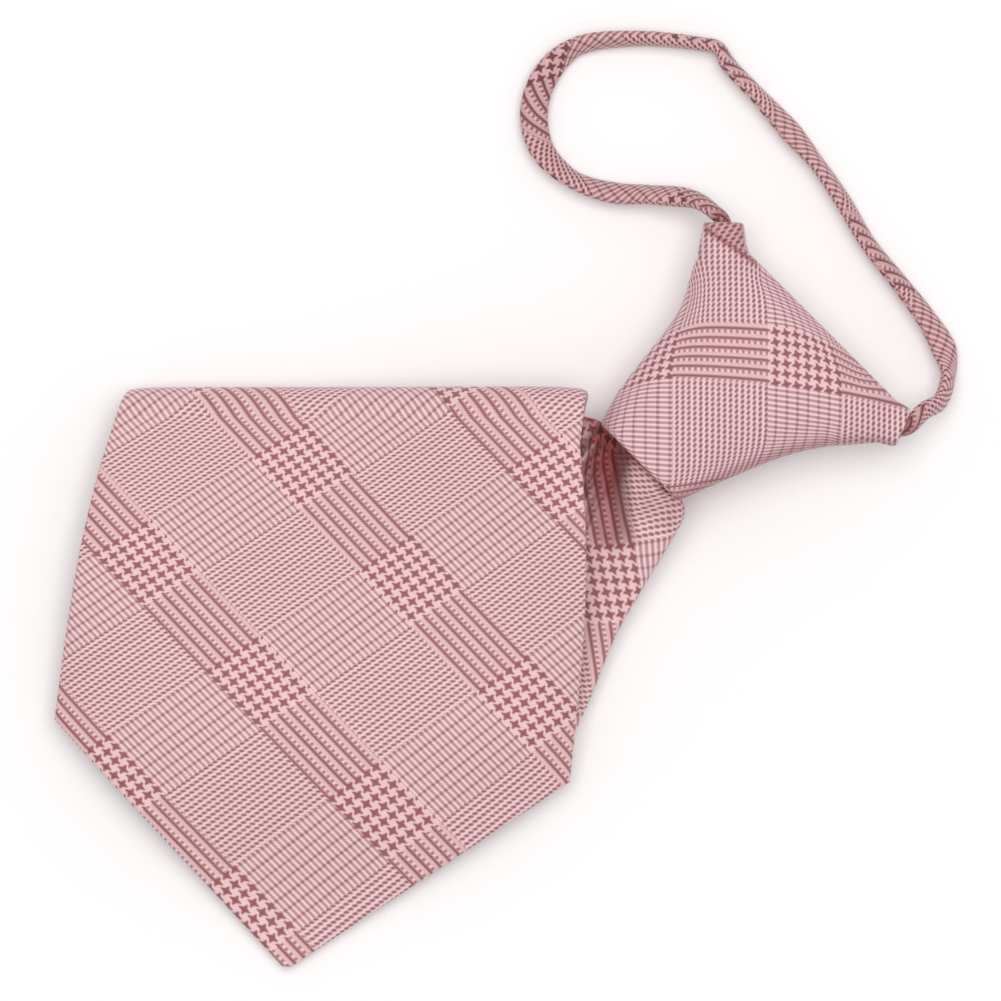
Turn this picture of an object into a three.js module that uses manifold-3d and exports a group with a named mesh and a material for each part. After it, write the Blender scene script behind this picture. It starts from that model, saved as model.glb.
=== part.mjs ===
// Zipper tie lying on a table, seen from above: +X right, +Y up the table, +Z up, in millimetres.
// The knot is sewn for good. A zip behind it draws the neck loop up, and here the loop is small.
// The blade leaves the knot gathered, folds up over itself, folds down again and ends in a point.
import * as THREE from "three";
import { mergeVertices } from "three/addons/utils/BufferGeometryUtils.js";
import Module from "manifold-3d";

const wasm = await Module();
wasm.setup();

// Blade
const BLADE_WIDTH = 89;
const BLADE_THICKNESS = 3;
const UPPER_FOLD_WIDTH = 78.4;
const LOWER_FOLD_WIDTH = 49;
const PANEL_LENGTH = 94.9;
const POINT_DEPTH = 37.4;
const POINT_ROUNDING = 1.6;
const LOWER_RUN = 59;
const MIDDLE_RUN = 52.4;
const UPPER_FOLD_SLACK = 2.3;
const LOWER_FOLD_SLACK = 1.1;
const BLADE_HEADING = 230.1;
const LOWER_CREASE_HEADING = 163.5;
const UPPER_CREASE_HEADING = 180;
const GATHER_WIDTH = 15;
const GATHER_THICKNESS = 11.4;
const GATHER_ROOT = 20;
const DIMPLE_DEPTH = 6.5;
const DEEPEST_CREASE = 0.75;
const PANEL_LIFT = 9.6;
const CORNER_DROOP = 4.4;

// Knot
const KNOT_WIDTH = 51;
const KNOT_HEIGHT = 38.2;
const KNOT_DEPTH = 17;
const KNOT_WALL = 1.2;
const KNOT_TURN = -45;
const KNOT_PLACE = { x: 55.5, y: 28.5 };
const MOUTH_WIDTH = 7;
const MOUTH_DEPTH = 7.4;
const MOUTH_LENGTH = 11;

// Neck band
const BAND_WIDTH = 4.8;
const BAND_THICKNESS = 2.4;
const LOOP_REACH = 22;
const BAND_TUCK = 7;

// Zip
const TAPE_WIDTH = 15;
const TAPE_THICKNESS = 1;
const COIL_WIDTH = 4.2;
const COIL_HEIGHT = 1.9;
const ZIP_BELOW_KNOT = 40;
const ZIP_BEHIND_KNOT = 26;
const SLIDER_WIDTH = 7.6;
const SLIDER_LENGTH = 9.5;
const SLIDER_HEIGHT = 4.6;

// Clearance between touching pieces, and a cutter's overrun
const CLEARANCE = 0.3;
const OVERRUN = 6;

const lowerFoldRadius = BLADE_THICKNESS / 2 + LOWER_FOLD_SLACK;
const upperFoldRadius = BLADE_THICKNESS / 2 + UPPER_FOLD_SLACK;
const zipTop = COIL_HEIGHT + CLEARANCE;

const clamp = THREE.MathUtils.clamp;
const smooth = THREE.MathUtils.smoothstep;
const radians = THREE.MathUtils.degToRad;

// The value of one column of a table at a place along it, on a smooth curve through the rows.
function read(rows, column, at) {
  const last = rows.length - 1;
  const place = clamp(at, rows[0].at, rows[last].at);
  let i = 0;
  while (i < last - 1 && place > rows[i + 1].at) {
    i += 1;
  }
  const slope = (k) => {
    const before = rows[Math.max(k - 1, 0)];
    const after = rows[Math.min(k + 1, last)];
    return (after[column] - before[column]) / (after.at - before.at);
  };
  const span = rows[i + 1].at - rows[i].at;
  const t = (place - rows[i].at) / span;
  const start = rows[i][column];
  const end = rows[i + 1][column];
  const rise = (end - start) / span;
  const m0 = rise === 0 ? 0 : slope(i);
  const m1 = rise === 0 ? 0 : slope(i + 1);
  const t2 = t * t;
  const t3 = t2 * t;
  const fromEnds = (2 * t3 - 3 * t2 + 1) * start + (3 * t2 - 2 * t3) * end;
  return fromEnds + span * ((t3 - 2 * t2 + t) * m0 + (t3 - t2) * m1);
}

// A closed body skinned over loops of equally many points, with a flat fan over each end.
function skin(loops) {
  const count = loops[0].length;
  const points = loops.flat();
  const index = [];
  for (let row = 0; row + 1 < loops.length; row += 1) {
    for (let i = 0; i < count; i += 1) {
      const here = row * count + i;
      const next = row * count + ((i + 1) % count);
      index.push(here, next, next + count, here, next + count, here + count);
    }
  }
  [0, loops.length - 1].forEach((row, end) => {
    const centre = points.length;
    const middle = new THREE.Vector3();
    loops[row].forEach((p) => middle.addScaledVector(p, 1 / count));
    points.push(middle);
    for (let i = 0; i < count; i += 1) {
      const here = row * count + i;
      const next = row * count + ((i + 1) % count);
      index.push(...(end === 0 ? [centre, next, here] : [centre, here, next]));
    }
  });
  const geometry = new THREE.BufferGeometry().setFromPoints(points);
  geometry.setIndex(index);
  return facingOut(geometry);
}

// Turns every face round when the body is inside out.
function facingOut(geometry) {
  const at = geometry.getAttribute("position");
  const index = geometry.getIndex().array;
  const corner = (i) => new THREE.Vector3().fromBufferAttribute(at, index[i]);
  let volume = 0;
  for (let i = 0; i < index.length; i += 3) {
    volume += corner(i).dot(corner(i + 1).cross(corner(i + 2)));
  }
  if (volume < 0) {
    for (let i = 0; i < index.length; i += 3) {
      [index[i + 1], index[i + 2]] = [index[i + 2], index[i + 1]];
    }
  }
  return geometry;
}

// A geometry as a solid that can be joined and cut, and back.
function solid(geometry) {
  const bare = geometry.clone();
  bare.deleteAttribute("normal");
  bare.deleteAttribute("uv");
  const merged = mergeVertices(bare, 1e-4);
  return new wasm.Manifold(
    new wasm.Mesh({
      numProp: 3,
      vertProperties: merged.getAttribute("position").array,
      triVerts: new Uint32Array(merged.getIndex().array),
    }),
  );
}

function geometryOf(body) {
  const mesh = body.getMesh();
  const geometry = new THREE.BufferGeometry();
  geometry.setAttribute("position", new THREE.BufferAttribute(mesh.vertProperties, 3));
  geometry.setIndex(new THREE.BufferAttribute(mesh.triVerts, 1));
  geometry.computeVertexNormals();
  return geometry;
}

function box(low, high) {
  const size = new THREE.Vector3().subVectors(high, low);
  const middle = new THREE.Vector3().addVectors(low, high).multiplyScalar(0.5);
  return new THREE.BoxGeometry(size.x, size.y, size.z).translate(middle.x, middle.y, middle.z);
}

// The knot stands upright in its own frame: its upper edge on the X axis, the blade leaving down.
// Shares: at of the height, left and right of the width, deep of the depth.
const KNOT_ROWS = [
  { at: -0.012, left: -0.42, right: 0.34, deep: 0.3 },
  { at: 0.02, left: -0.455, right: 0.37, deep: 0.56 },
  { at: 0.07, left: -0.48, right: 0.4, deep: 0.76 },
  { at: 0.16, left: -0.485, right: 0.39, deep: 0.9 },
  { at: 0.26, left: -0.45, right: 0.33, deep: 0.97 },
  { at: 0.37, left: -0.407, right: 0.262, deep: 1 },
  { at: 0.52, left: -0.384, right: 0.193, deep: 1 },
  { at: 0.68, left: -0.37, right: 0.14, deep: 0.99 },
  { at: 0.84, left: -0.353, right: 0.092, deep: 0.96 },
  { at: 1, left: -0.32, right: 0.048, deep: 0.92 },
  { at: 1.14, left: -0.29, right: 0.02, deep: 0.86 },
];
// The two upper mouths, left and right: centre of the rim, and the way it faces in degrees.
const MOUTHS = [
  { x: -0.505, y: 0.03, aim: 134 },
  { x: 0.408, y: -0.052, aim: 23 },
];
const LOOP_POINTS = 28;
const ROUNDNESS = 2.6;

const knotMiddle = zipTop + KNOT_DEPTH / 2;
const exitRow = KNOT_ROWS.find((row) => row.at === 1);
const exitCentre = ((exitRow.left + exitRow.right) / 2) * KNOT_WIDTH;

// A flattened round loop about a centre, wide along one direction and deep along Z.
function flatRound(centre, across, width, depth) {
  const loop = [];
  for (let i = 0; i < LOOP_POINTS; i += 1) {
    const angle = (2 * Math.PI * i) / LOOP_POINTS;
    const swell = (x) => Math.sign(x) * Math.abs(x) ** (2 / ROUNDNESS);
    const point = centre.clone().addScaledVector(across, (width / 2) * swell(Math.cos(angle)));
    point.z += (depth / 2) * swell(Math.sin(angle));
    loop.push(point);
  }
  return loop;
}

function knotBody(wall) {
  const across = new THREE.Vector3(1, 0, 0);
  return skin(
    KNOT_ROWS.map((row) => {
      const middle = ((row.left + row.right) / 2) * KNOT_WIDTH;
      const down = row.at * KNOT_HEIGHT;
      const first = row === KNOT_ROWS[0];
      const centre = new THREE.Vector3(middle, -down - (first ? wall : 0), knotMiddle);
      const width = (row.right - row.left) * KNOT_WIDTH - 2 * wall;
      return flatRound(centre, across, width, row.deep * KNOT_DEPTH - 2 * wall);
    }),
  );
}

function mouthFrame(mouth) {
  const turn = radians(mouth.aim);
  return {
    rim: new THREE.Vector3(mouth.x * KNOT_WIDTH, mouth.y * KNOT_HEIGHT, knotMiddle),
    out: new THREE.Vector3(Math.cos(turn), Math.sin(turn), 0),
    across: new THREE.Vector3(-Math.sin(turn), Math.cos(turn), 0),
  };
}

// A mouth's funnel, from inside the knot to its rim. Its bore runs past the rim.
function funnel(mouth, wall) {
  const { rim, out, across } = mouthFrame(mouth);
  const past = wall > 0 ? OVERRUN : 0;
  const rows = [
    { back: MOUTH_LENGTH, flare: 1.45 },
    { back: MOUTH_LENGTH * 0.45, flare: 1.2 },
    { back: 0, flare: 1 },
    { back: -past, flare: 1 },
  ];
  return skin(
    rows
      .filter((row) => row.back >= 0 || past > 0)
      .map((row) => {
        const centre = rim.clone().addScaledVector(out, -row.back);
        const width = MOUTH_WIDTH * row.flare - 2 * wall;
        return flatRound(centre, across, width, MOUTH_DEPTH * row.flare - 2 * wall);
      }),
  );
}

// Wrap of the knot: a hollow cloth shell, open at both upper mouths and at the lower edge.
function knotGeometry() {
  const outer = MOUTHS.map((m) => solid(funnel(m, 0))).reduce(
    (body, part) => body.add(part),
    solid(knotBody(0)),
  );
  const hollow = MOUTHS.map((m) => solid(funnel(m, KNOT_WALL))).reduce(
    (body, part) => body.add(part),
    solid(knotBody(KNOT_WALL)),
  );
  const far = KNOT_WIDTH + KNOT_HEIGHT;
  const belowEdge = box(
    new THREE.Vector3(-far, -far, -far),
    new THREE.Vector3(far, -KNOT_HEIGHT, far),
  );
  const room = SLIDER_WIDTH / 2 + 2 * CLEARANCE;
  const sliderSlot = box(
    new THREE.Vector3(exitCentre - room, sliderLow - 2 * CLEARANCE, -OVERRUN),
    new THREE.Vector3(
      exitCentre + room,
      sliderLow + SLIDER_LENGTH + 2 * CLEARANCE,
      SLIDER_HEIGHT + 2 * CLEARANCE,
    ),
  );
  const shell = outer.subtract(hollow).subtract(solid(belowEdge)).subtract(solid(sliderSlot));
  return geometryOf(shell);
}

// A place in the knot's upright frame as a place on the table.
function fromKnot(x, y) {
  const turn = radians(KNOT_TURN);
  return new THREE.Vector2(x, y)
    .rotateAround(new THREE.Vector2(), turn)
    .add(new THREE.Vector2(KNOT_PLACE.x, KNOT_PLACE.y));
}

// Zip behind the knot: tape, closed coil and slider in one piece, flat side down.
const zipHigh = -KNOT_HEIGHT + ZIP_BEHIND_KNOT;
const sliderLow = zipHigh - SLIDER_LENGTH;

function zipperGeometry() {
  const low = -KNOT_HEIGHT - ZIP_BELOW_KNOT;
  const slab = (width, from, to, height) =>
    box(
      new THREE.Vector3(exitCentre - width / 2, from, 0),
      new THREE.Vector3(exitCentre + width / 2, to, height),
    );
  const tape = solid(slab(TAPE_WIDTH, low, zipHigh, TAPE_THICKNESS));
  const coil = solid(slab(COIL_WIDTH, low + COIL_WIDTH, zipHigh, COIL_HEIGHT));
  const slider = solid(slab(SLIDER_WIDTH, sliderLow, zipHigh, SLIDER_HEIGHT));
  return geometryOf(tape.add(coil).add(slider));
}

// Blade, in flat cloth sizes: u to the right of the centre line, v down it from the knot.
// Shares: at of the lower run, left and right of the way the cloth spreads, thick of the gathers.
const LOWER_RUN_ROWS = [
  { at: 0.022, left: 0, right: 0, thick: 1, flat: 0 },
  { at: 0.055, left: 0.28, right: 0.22, thick: 0.86, flat: 0.1 },
  { at: 0.12, left: 0.44, right: 0.31, thick: 0.66, flat: 0.3 },
  { at: 0.22, left: 0.54, right: 0.38, thick: 0.46, flat: 0.5 },
  { at: 0.42, left: 0.68, right: 0.5, thick: 0.2, flat: 0.9 },
  { at: 0.66, left: 0.82, right: 0.76, thick: 0.02, flat: 1 },
  { at: 1, left: 1, right: 1, thick: 0, flat: 1 },
];
// Height that the folded blade gains where it lies over the gathers, as shares of the panel's lift.
const LIFT_ROWS = [
  { at: -0.3, share: 0.92 },
  { at: 0, share: 1 },
  { at: 0.2, share: 0.86 },
  { at: 0.45, share: 0.5 },
  { at: 0.75, share: 0.2 },
  { at: 1.1, share: 0 },
];
// Height of the front panel over the table, as shares of its height at the lower fold.
const PANEL_ROWS = [
  { at: 0, share: 0.94 },
  { at: 0.3, share: 0.96 },
  { at: 0.5, share: 1 },
  { at: 0.6, share: 0.97 },
  { at: 0.72, share: 0.74 },
  { at: 0.86, share: 0.36 },
  { at: 1, share: 0.15 },
];
// Half widths of the panel as shares of the blade's width, from the upper fold to the corners.
const PANEL_EDGE_ROWS = [
  { at: 0, wide: 0 },
  { at: 0.24, wide: 0.5 },
  { at: 0.5, wide: 0.82 },
  { at: 0.75, wide: 0.95 },
  { at: 1, wide: 1 },
];
// Creases pressed into the gathers: dimple, valley, the ridge beside it, and a tuck at the side.
// Shares: u and wide of the blade's width, v of the lower run, deep of the dimple's depth.
const GATHER_CREASES = [
  { u0: -0.068, v0: 0.0, u1: -0.045, v1: 0.06, wide: 0.034, deep: 1 },
  { u0: -0.05, v0: 0.05, u1: 0.035, v1: 0.2, wide: 0.028, deep: 0.72 },
  { u0: -0.02, v0: 0.02, u1: 0.085, v1: 0.17, wide: 0.014, deep: -0.16 },
  { u0: 0.075, v0: 0.02, u1: 0.115, v1: 0.12, wide: 0.012, deep: 0.14 },
];
// Where the cloth changes, as shares of the run or panel that it lies in.
const LEAVING_END = 0.15;
const LIFT_REACH = 0.55;
const BACK_LIFT_END = 0.4;
const FOLD_BLEND_END = 0.25;
const DROOP_SPAN = { from: 0.25, full: 0.6, fading: 0.62, gone: 0.9 };
const FRONT_LIFT_SPAN = { fading: 0.55, gone: 0.8 };
const EDGE_ROUNDNESS = 12;

function headed(degrees) {
  const turn = radians(degrees);
  return new THREE.Vector2(Math.cos(turn), Math.sin(turn));
}

const start = fromKnot(exitCentre, -KNOT_HEIGHT);
const down = headed(BLADE_HEADING);
const right = new THREE.Vector2(-down.y, down.x);

// A bend rolls the cloth up round a line on the table, half a turn, and lays it back the other way.
function bend(point, crease, heading, radius) {
  const along = headed(crease);
  const beyond = new THREE.Vector2(-along.y, along.x);
  if (beyond.dot(headed(heading)) < 0) {
    beyond.negate();
  }
  const lean = beyond.dot(headed(heading));
  return { point, along, beyond, radius, length: (Math.PI * radius) / lean };
}

const middleHeading = 2 * LOWER_CREASE_HEADING - BLADE_HEADING;
const lowerBend = bend(
  start.clone().addScaledVector(down, LOWER_RUN),
  LOWER_CREASE_HEADING,
  BLADE_HEADING,
  lowerFoldRadius,
);
const lowerBendEnd = lowerBend.point
  .clone()
  .addScaledVector(lowerBend.along, lowerBend.along.dot(down) * lowerBend.length);
const upperBend = bend(
  lowerBendEnd.clone().addScaledVector(headed(middleHeading), MIDDLE_RUN),
  UPPER_CREASE_HEADING,
  middleHeading,
  upperFoldRadius,
);
const middleStart = LOWER_RUN + lowerBend.length;
const upperStart = middleStart + MIDDLE_RUN;
const panelStart = upperStart + upperBend.length;
const cornerAt = panelStart + PANEL_LENGTH - POINT_DEPTH;
const tipAt = panelStart + PANEL_LENGTH;

// A row across the cloth leans, so that it lies along the crease where the cloth bends.
function leanOf(crease, heading) {
  const along = headed(crease);
  const forward = headed(heading);
  const side = new THREE.Vector2(-forward.y, forward.x);
  return along.dot(forward) / along.dot(side);
}
const lowerLean = leanOf(LOWER_CREASE_HEADING, BLADE_HEADING);
const upperLean = -leanOf(UPPER_CREASE_HEADING, middleHeading);
const LEAN_ROWS = [
  { at: 0, lean: 0 },
  { at: LOWER_RUN * LIFT_REACH, lean: lowerLean * 0.6 },
  { at: LOWER_RUN, lean: lowerLean },
  { at: middleStart, lean: lowerLean },
  { at: upperStart, lean: upperLean },
  { at: panelStart, lean: upperLean },
  { at: cornerAt, lean: 0 },
  { at: tipAt, lean: 0 },
];

function leanAt(v) {
  const i = Math.max(LEAN_ROWS.findIndex((row) => row.at >= v), 1);
  const from = LEAN_ROWS[i - 1];
  const to = LEAN_ROWS[i];
  return THREE.MathUtils.lerp(from.lean, to.lean, clamp((v - from.at) / (to.at - from.at), 0, 1));
}

// Half width of the flat cloth at v, on the left (-1) or right (+1) side.
function halfWidth(v, side) {
  const column = side < 0 ? "left" : "right";
  const rootHalf = GATHER_WIDTH / 2;
  if (v < LOWER_RUN) {
    const spread = read(LOWER_RUN_ROWS, column, v / LOWER_RUN);
    return THREE.MathUtils.lerp(rootHalf, LOWER_FOLD_WIDTH / 2, spread);
  }
  if (v < panelStart) {
    const share = clamp((v - middleStart) / MIDDLE_RUN, 0, 1);
    return THREE.MathUtils.lerp(LOWER_FOLD_WIDTH, UPPER_FOLD_WIDTH, share) / 2;
  }
  if (v <= cornerAt) {
    const share = read(PANEL_EDGE_ROWS, "wide", (v - panelStart) / (cornerAt - panelStart));
    return THREE.MathUtils.lerp(UPPER_FOLD_WIDTH, BLADE_WIDTH, share) / 2;
  }
  return THREE.MathUtils.lerp(BLADE_WIDTH, POINT_ROUNDING, (v - cornerAt) / POINT_DEPTH) / 2;
}

function thicknessAt(v) {
  const share = read(LOWER_RUN_ROWS, "thick", v / LOWER_RUN);
  return BLADE_THICKNESS + (GATHER_THICKNESS - BLADE_THICKNESS) * share;
}

// Depth pressed into the gathers at a place on the cloth.
function creaseDepth(u, v) {
  let depth = 0;
  GATHER_CREASES.forEach((crease) => {
    const from = new THREE.Vector2(crease.u0 * BLADE_WIDTH, crease.v0 * LOWER_RUN);
    const to = new THREE.Vector2(crease.u1 * BLADE_WIDTH, crease.v1 * LOWER_RUN);
    const run = to.clone().sub(from);
    const share = clamp(new THREE.Vector2(u, v).sub(from).dot(run) / run.lengthSq(), 0, 1);
    const away = from.clone().addScaledVector(run, share).distanceTo(new THREE.Vector2(u, v));
    const wide = crease.wide * BLADE_WIDTH;
    depth += crease.deep * DIMPLE_DEPTH * Math.exp(-((away / wide) ** 2));
  });
  const limit = DEEPEST_CREASE * thicknessAt(v);
  return limit * Math.tanh((depth * smooth(v, -2, 0.5)) / limit);
}

// Height of the cloth's middle over the table while it lies in the lower run.
function lowerRunHeight(v) {
  const resting = zipTop + CLEARANCE;
  const low = resting * (1 - smooth(v, ZIP_BELOW_KNOT + 1, LOWER_RUN - 3));
  const leaving = smooth(v, 0.5, LOWER_RUN * LEAVING_END);
  return THREE.MathUtils.lerp(knotMiddle, low + thicknessAt(v) / 2, leaving);
}

// Height gained over the gathers at a place on the table.
function liftAt(place) {
  const offset = place.clone().sub(start);
  const v = offset.dot(down);
  const u = offset.dot(right);
  const outside = Math.max(0, Math.abs(u) - halfWidth(clamp(v, 0, LOWER_RUN), Math.sign(u)));
  const reach = LOWER_RUN * LIFT_REACH;
  return PANEL_LIFT * read(LIFT_ROWS, "share", v / LOWER_RUN) * Math.exp(-((outside / reach) ** 2));
}

// Where a point of the cloth lies: u across, v along, h out of its front face.
function lay(u, v, h) {
  const flat = start.clone().addScaledVector(down, v).addScaledVector(right, u);
  const q1 = flat.clone().sub(lowerBend.point).dot(lowerBend.beyond);
  const roll1 = Math.PI * lowerBend.radius;
  if (q1 <= 0) {
    return new THREE.Vector3(flat.x, flat.y, lowerRunHeight(v) + h);
  }
  const foldHeight = BLADE_THICKNESS / 2;
  const onFold = flat.clone().addScaledVector(lowerBend.beyond, -q1);
  if (q1 < roll1) {
    const turn = q1 / lowerBend.radius;
    const r = lowerBend.radius - h;
    const place = onFold.addScaledVector(lowerBend.beyond, Math.sin(turn) * r);
    return new THREE.Vector3(place.x, place.y, foldHeight + lowerBend.radius - Math.cos(turn) * r);
  }
  const place = onFold.addScaledVector(lowerBend.beyond, -(q1 - roll1));
  const q2 = place.clone().sub(upperBend.point).dot(upperBend.beyond);
  const roll2 = Math.PI * upperBend.radius;
  const lift = liftAt(place);
  const overLowerFold = foldHeight + 2 * lowerBend.radius;
  const backShare = clamp(-q2 / MIDDLE_RUN, 0, 1);
  const middleHeight = THREE.MathUtils.lerp(foldHeight, overLowerFold, smooth(backShare, 0, 1));
  if (q2 <= 0) {
    const lifted = lift * smooth(1 - backShare, 0, BACK_LIFT_END);
    return new THREE.Vector3(place.x, place.y, middleHeight + lifted - h);
  }
  const edge = place.clone().addScaledVector(upperBend.beyond, -q2);
  if (q2 < roll2) {
    const turn = q2 / upperBend.radius;
    const r = upperBend.radius + h;
    const out = edge.clone().addScaledVector(upperBend.beyond, Math.sin(turn) * r);
    const height = foldHeight + upperBend.radius - Math.cos(turn) * r + liftAt(edge);
    return new THREE.Vector3(out.x, out.y, height);
  }
  const front = edge.addScaledVector(upperBend.beyond, -(q2 - roll2));
  const share = (q2 - roll2) / PANEL_LENGTH;
  const panelBase = overLowerFold + BLADE_THICKNESS + CLEARANCE;
  const atFold = foldHeight + 2 * upperBend.radius;
  const table = panelBase * read(PANEL_ROWS, "share", share);
  const blended = THREE.MathUtils.lerp(atFold, table, smooth(share, 0, FOLD_BLEND_END));
  const side = Math.min(1, Math.abs(u) / (BLADE_WIDTH / 2));
  const drooping = smooth(share, DROOP_SPAN.from, DROOP_SPAN.full);
  const lying = smooth(share, DROOP_SPAN.fading, DROOP_SPAN.gone);
  const droop = CORNER_DROOP * side ** 4 * drooping * (1 - lying);
  const rise = liftAt(front) * (1 - smooth(share, FRONT_LIFT_SPAN.fading, FRONT_LIFT_SPAN.gone));
  return new THREE.Vector3(front.x, front.y, Math.max(blended - droop, foldHeight) + rise + h);
}

// Places along the cloth where a row is laid, closer where it gathers and rolls.
function stations() {
  const gathersEnd = LOWER_RUN * 0.3;
  const stretch = (from, to, count) =>
    Array.from({ length: count }, (_, i) => from + ((to - from) * i) / count);
  return [
    ...stretch(-GATHER_ROOT, 0, 3),
    ...stretch(0, gathersEnd, 12),
    ...stretch(gathersEnd, LOWER_RUN, 7),
    ...stretch(LOWER_RUN, middleStart, 6),
    ...stretch(middleStart, upperStart, 7),
    ...stretch(upperStart, panelStart, 8),
    ...stretch(panelStart, cornerAt, 8),
    ...stretch(cornerAt, tipAt, 6),
    tipAt,
  ];
}

const COLUMNS = 22;

function bladeGeometry() {
  const shares = Array.from({ length: COLUMNS + 1 }, (_, i) =>
    Math.sin((Math.PI / 2) * ((2 * i) / COLUMNS - 1)),
  );
  const loops = stations().map((v) => {
    const lean = leanAt(v);
    const flatness = v < LOWER_RUN ? read(LOWER_RUN_ROWS, "flat", v / LOWER_RUN) : 1;
    const power = THREE.MathUtils.lerp(ROUNDNESS, EDGE_ROUNDNESS, flatness);
    const place = (share, face) => {
      const side = Math.sign(share) || 1;
      let u = share * halfWidth(v, side);
      for (let pass = 0; pass < 3; pass += 1) {
        u = share * halfWidth(Math.min(v + lean * u, tipAt), side);
      }
      const full = (1 - Math.abs(share) ** power) ** (1 / Math.min(power, 4));
      const at = v + lean * u;
      const pressed = face > 0 ? creaseDepth(u, at) * full : 0;
      return lay(u, at, (face * full * thicknessAt(at)) / 2 - pressed);
    };
    const top = shares.map((share) => place(share, 1));
    const back = shares.slice(1, -1).reverse();
    return [...top, ...back.map((share) => place(share, -1))];
  });
  return skin(loops);
}

// Route of the neck band from the left mouth round to the right one.
// Shares: along of the way between the mouths, out of the loop's reach. turn is the band's twist.
const BAND_ROWS = [
  { along: -0.057, out: -0.002, turn: 70, high: 0.85 },
  { along: -0.118, out: -0.033, turn: 62, high: 0.6 },
  { along: -0.175, out: -0.113, turn: 50, high: 0.35 },
  { along: -0.258, out: -0.279, turn: 60, high: 0.1 },
  { along: -0.353, out: -0.485, turn: 50, high: 0 },
  { along: -0.486, out: -0.65, turn: 64, high: 0 },
  { along: -0.637, out: -0.68, turn: 37, high: 0 },
  { along: -0.758, out: -0.549, turn: 4, high: 0 },
  { along: -0.836, out: -0.301, turn: 20, high: 0 },
  { along: -0.847, out: 0.039, turn: 62, high: 0 },
  { along: -0.732, out: 0.424, turn: 78, high: 0 },
  { along: -0.559, out: 0.785, turn: 90, high: 0 },
  { along: -0.495, out: 0.882, turn: 90, high: 0 },
  { along: -0.432, out: 0.858, turn: 108, high: 0 },
  { along: -0.271, out: 0.87, turn: 110, high: 0 },
  { along: -0.091, out: 0.877, turn: 134, high: 0 },
  { along: 0.064, out: 0.869, turn: 105, high: 0 },
  { along: 0.231, out: 0.827, turn: 112, high: 0 },
  { along: 0.407, out: 0.758, turn: 108, high: 0 },
  { along: 0.589, out: 0.74, turn: 114, high: 0 },
  { along: 0.759, out: 0.715, turn: 126, high: 0 },
  { along: 0.883, out: 0.661, turn: 150, high: 0.02 },
  { along: 0.967, out: 0.547, turn: 100, high: 0.15 },
  { along: 1.017, out: 0.361, turn: 112, high: 0.5 },
  { along: 1.004, out: 0.211, turn: 125, high: 0.85 },
];
const BAND_STEPS = 76;
const BAND_SIDES = 8;
const BAND_NARROWING = 0.68;

function mouthOnTable(mouth, back) {
  const { rim, out } = mouthFrame(mouth);
  const place = rim.clone().addScaledVector(out, -back);
  const flat = fromKnot(place.x, place.y);
  return new THREE.Vector3(flat.x, flat.y, place.z);
}

function bandGeometry() {
  const [left, rightMouth] = MOUTHS;
  const from = mouthOnTable(left, 0);
  const to = mouthOnTable(rightMouth, 0);
  const span = new THREE.Vector2(to.x - from.x, to.y - from.y);
  const reach = new THREE.Vector2(-span.y, span.x).normalize().multiplyScalar(LOOP_REACH);
  const resting = BAND_WIDTH / 2;
  const route = BAND_ROWS.map(
    (row) =>
      new THREE.Vector3(
        from.x + span.x * row.along + reach.x * row.out,
        from.y + span.y * row.along + reach.y * row.out,
        THREE.MathUtils.lerp(resting, knotMiddle, row.high),
      ),
  );
  const first = [mouthOnTable(left, BAND_TUCK), from];
  const last = [to, mouthOnTable(rightMouth, BAND_TUCK)];
  const points = [...first, ...route, ...last];
  const turns = [
    BAND_ROWS[0].turn,
    BAND_ROWS[0].turn,
    ...BAND_ROWS.map((row) => row.turn),
    BAND_ROWS[BAND_ROWS.length - 1].turn,
    BAND_ROWS[BAND_ROWS.length - 1].turn,
  ];
  const curve = new THREE.CatmullRomCurve3(points, false, "centripetal");
  const loops = [];
  for (let step = 0; step <= BAND_STEPS; step += 1) {
    const share = curve.getUtoTmapping(step / BAND_STEPS);
    const centre = curve.getPoint(share);
    const forward = curve.getTangent(share);
    const side = new THREE.Vector3(0, 0, 1).cross(forward).normalize();
    const up = new THREE.Vector3().crossVectors(forward, side);
    const place = share * (points.length - 1);
    const before = Math.min(Math.floor(place), points.length - 2);
    const turn = radians(THREE.MathUtils.lerp(turns[before], turns[before + 1], place - before));
    const nearEnd = Math.min(step, BAND_STEPS - step) / BAND_STEPS;
    const full = THREE.MathUtils.lerp(BAND_NARROWING, 1, smooth(nearEnd, 0.03, 0.12));
    const loop = [];
    for (let i = 0; i < BAND_SIDES; i += 1) {
      const angle = (2 * Math.PI * (i + 0.5)) / BAND_SIDES;
      const a = (Math.cos(angle) * BAND_WIDTH * full) / 2;
      const b = (Math.sin(angle) * BAND_THICKNESS) / 2;
      loop.push(
        centre
          .clone()
          .addScaledVector(side, a * Math.cos(turn) - b * Math.sin(turn))
          .addScaledVector(up, a * Math.sin(turn) + b * Math.cos(turn)),
      );
    }
    loops.push(loop);
  }
  return skin(loops);
}

// Materials
const cloth = (colour) =>
  new THREE.MeshStandardMaterial({ color: colour, roughness: 0.7, metalness: 0 });
const silkCloth = cloth(0xc9a0a2);
const wrapCloth = cloth(0xc49b9e);
const bandCloth = cloth(0xb88084);
const zipPlastic = new THREE.MeshStandardMaterial({ color: 0xb98f93, roughness: 0.5, metalness: 0 });

function piece(name, geometry, material) {
  const mesh = new THREE.Mesh(geometry, material);
  mesh.name = name;
  return mesh;
}

const knotGroup = new THREE.Group();
knotGroup.position.set(KNOT_PLACE.x, KNOT_PLACE.y, 0);
knotGroup.rotation.z = radians(KNOT_TURN);
knotGroup.add(piece("knot", knotGeometry(), wrapCloth));
knotGroup.add(piece("zipper", zipperGeometry(), zipPlastic));

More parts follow.
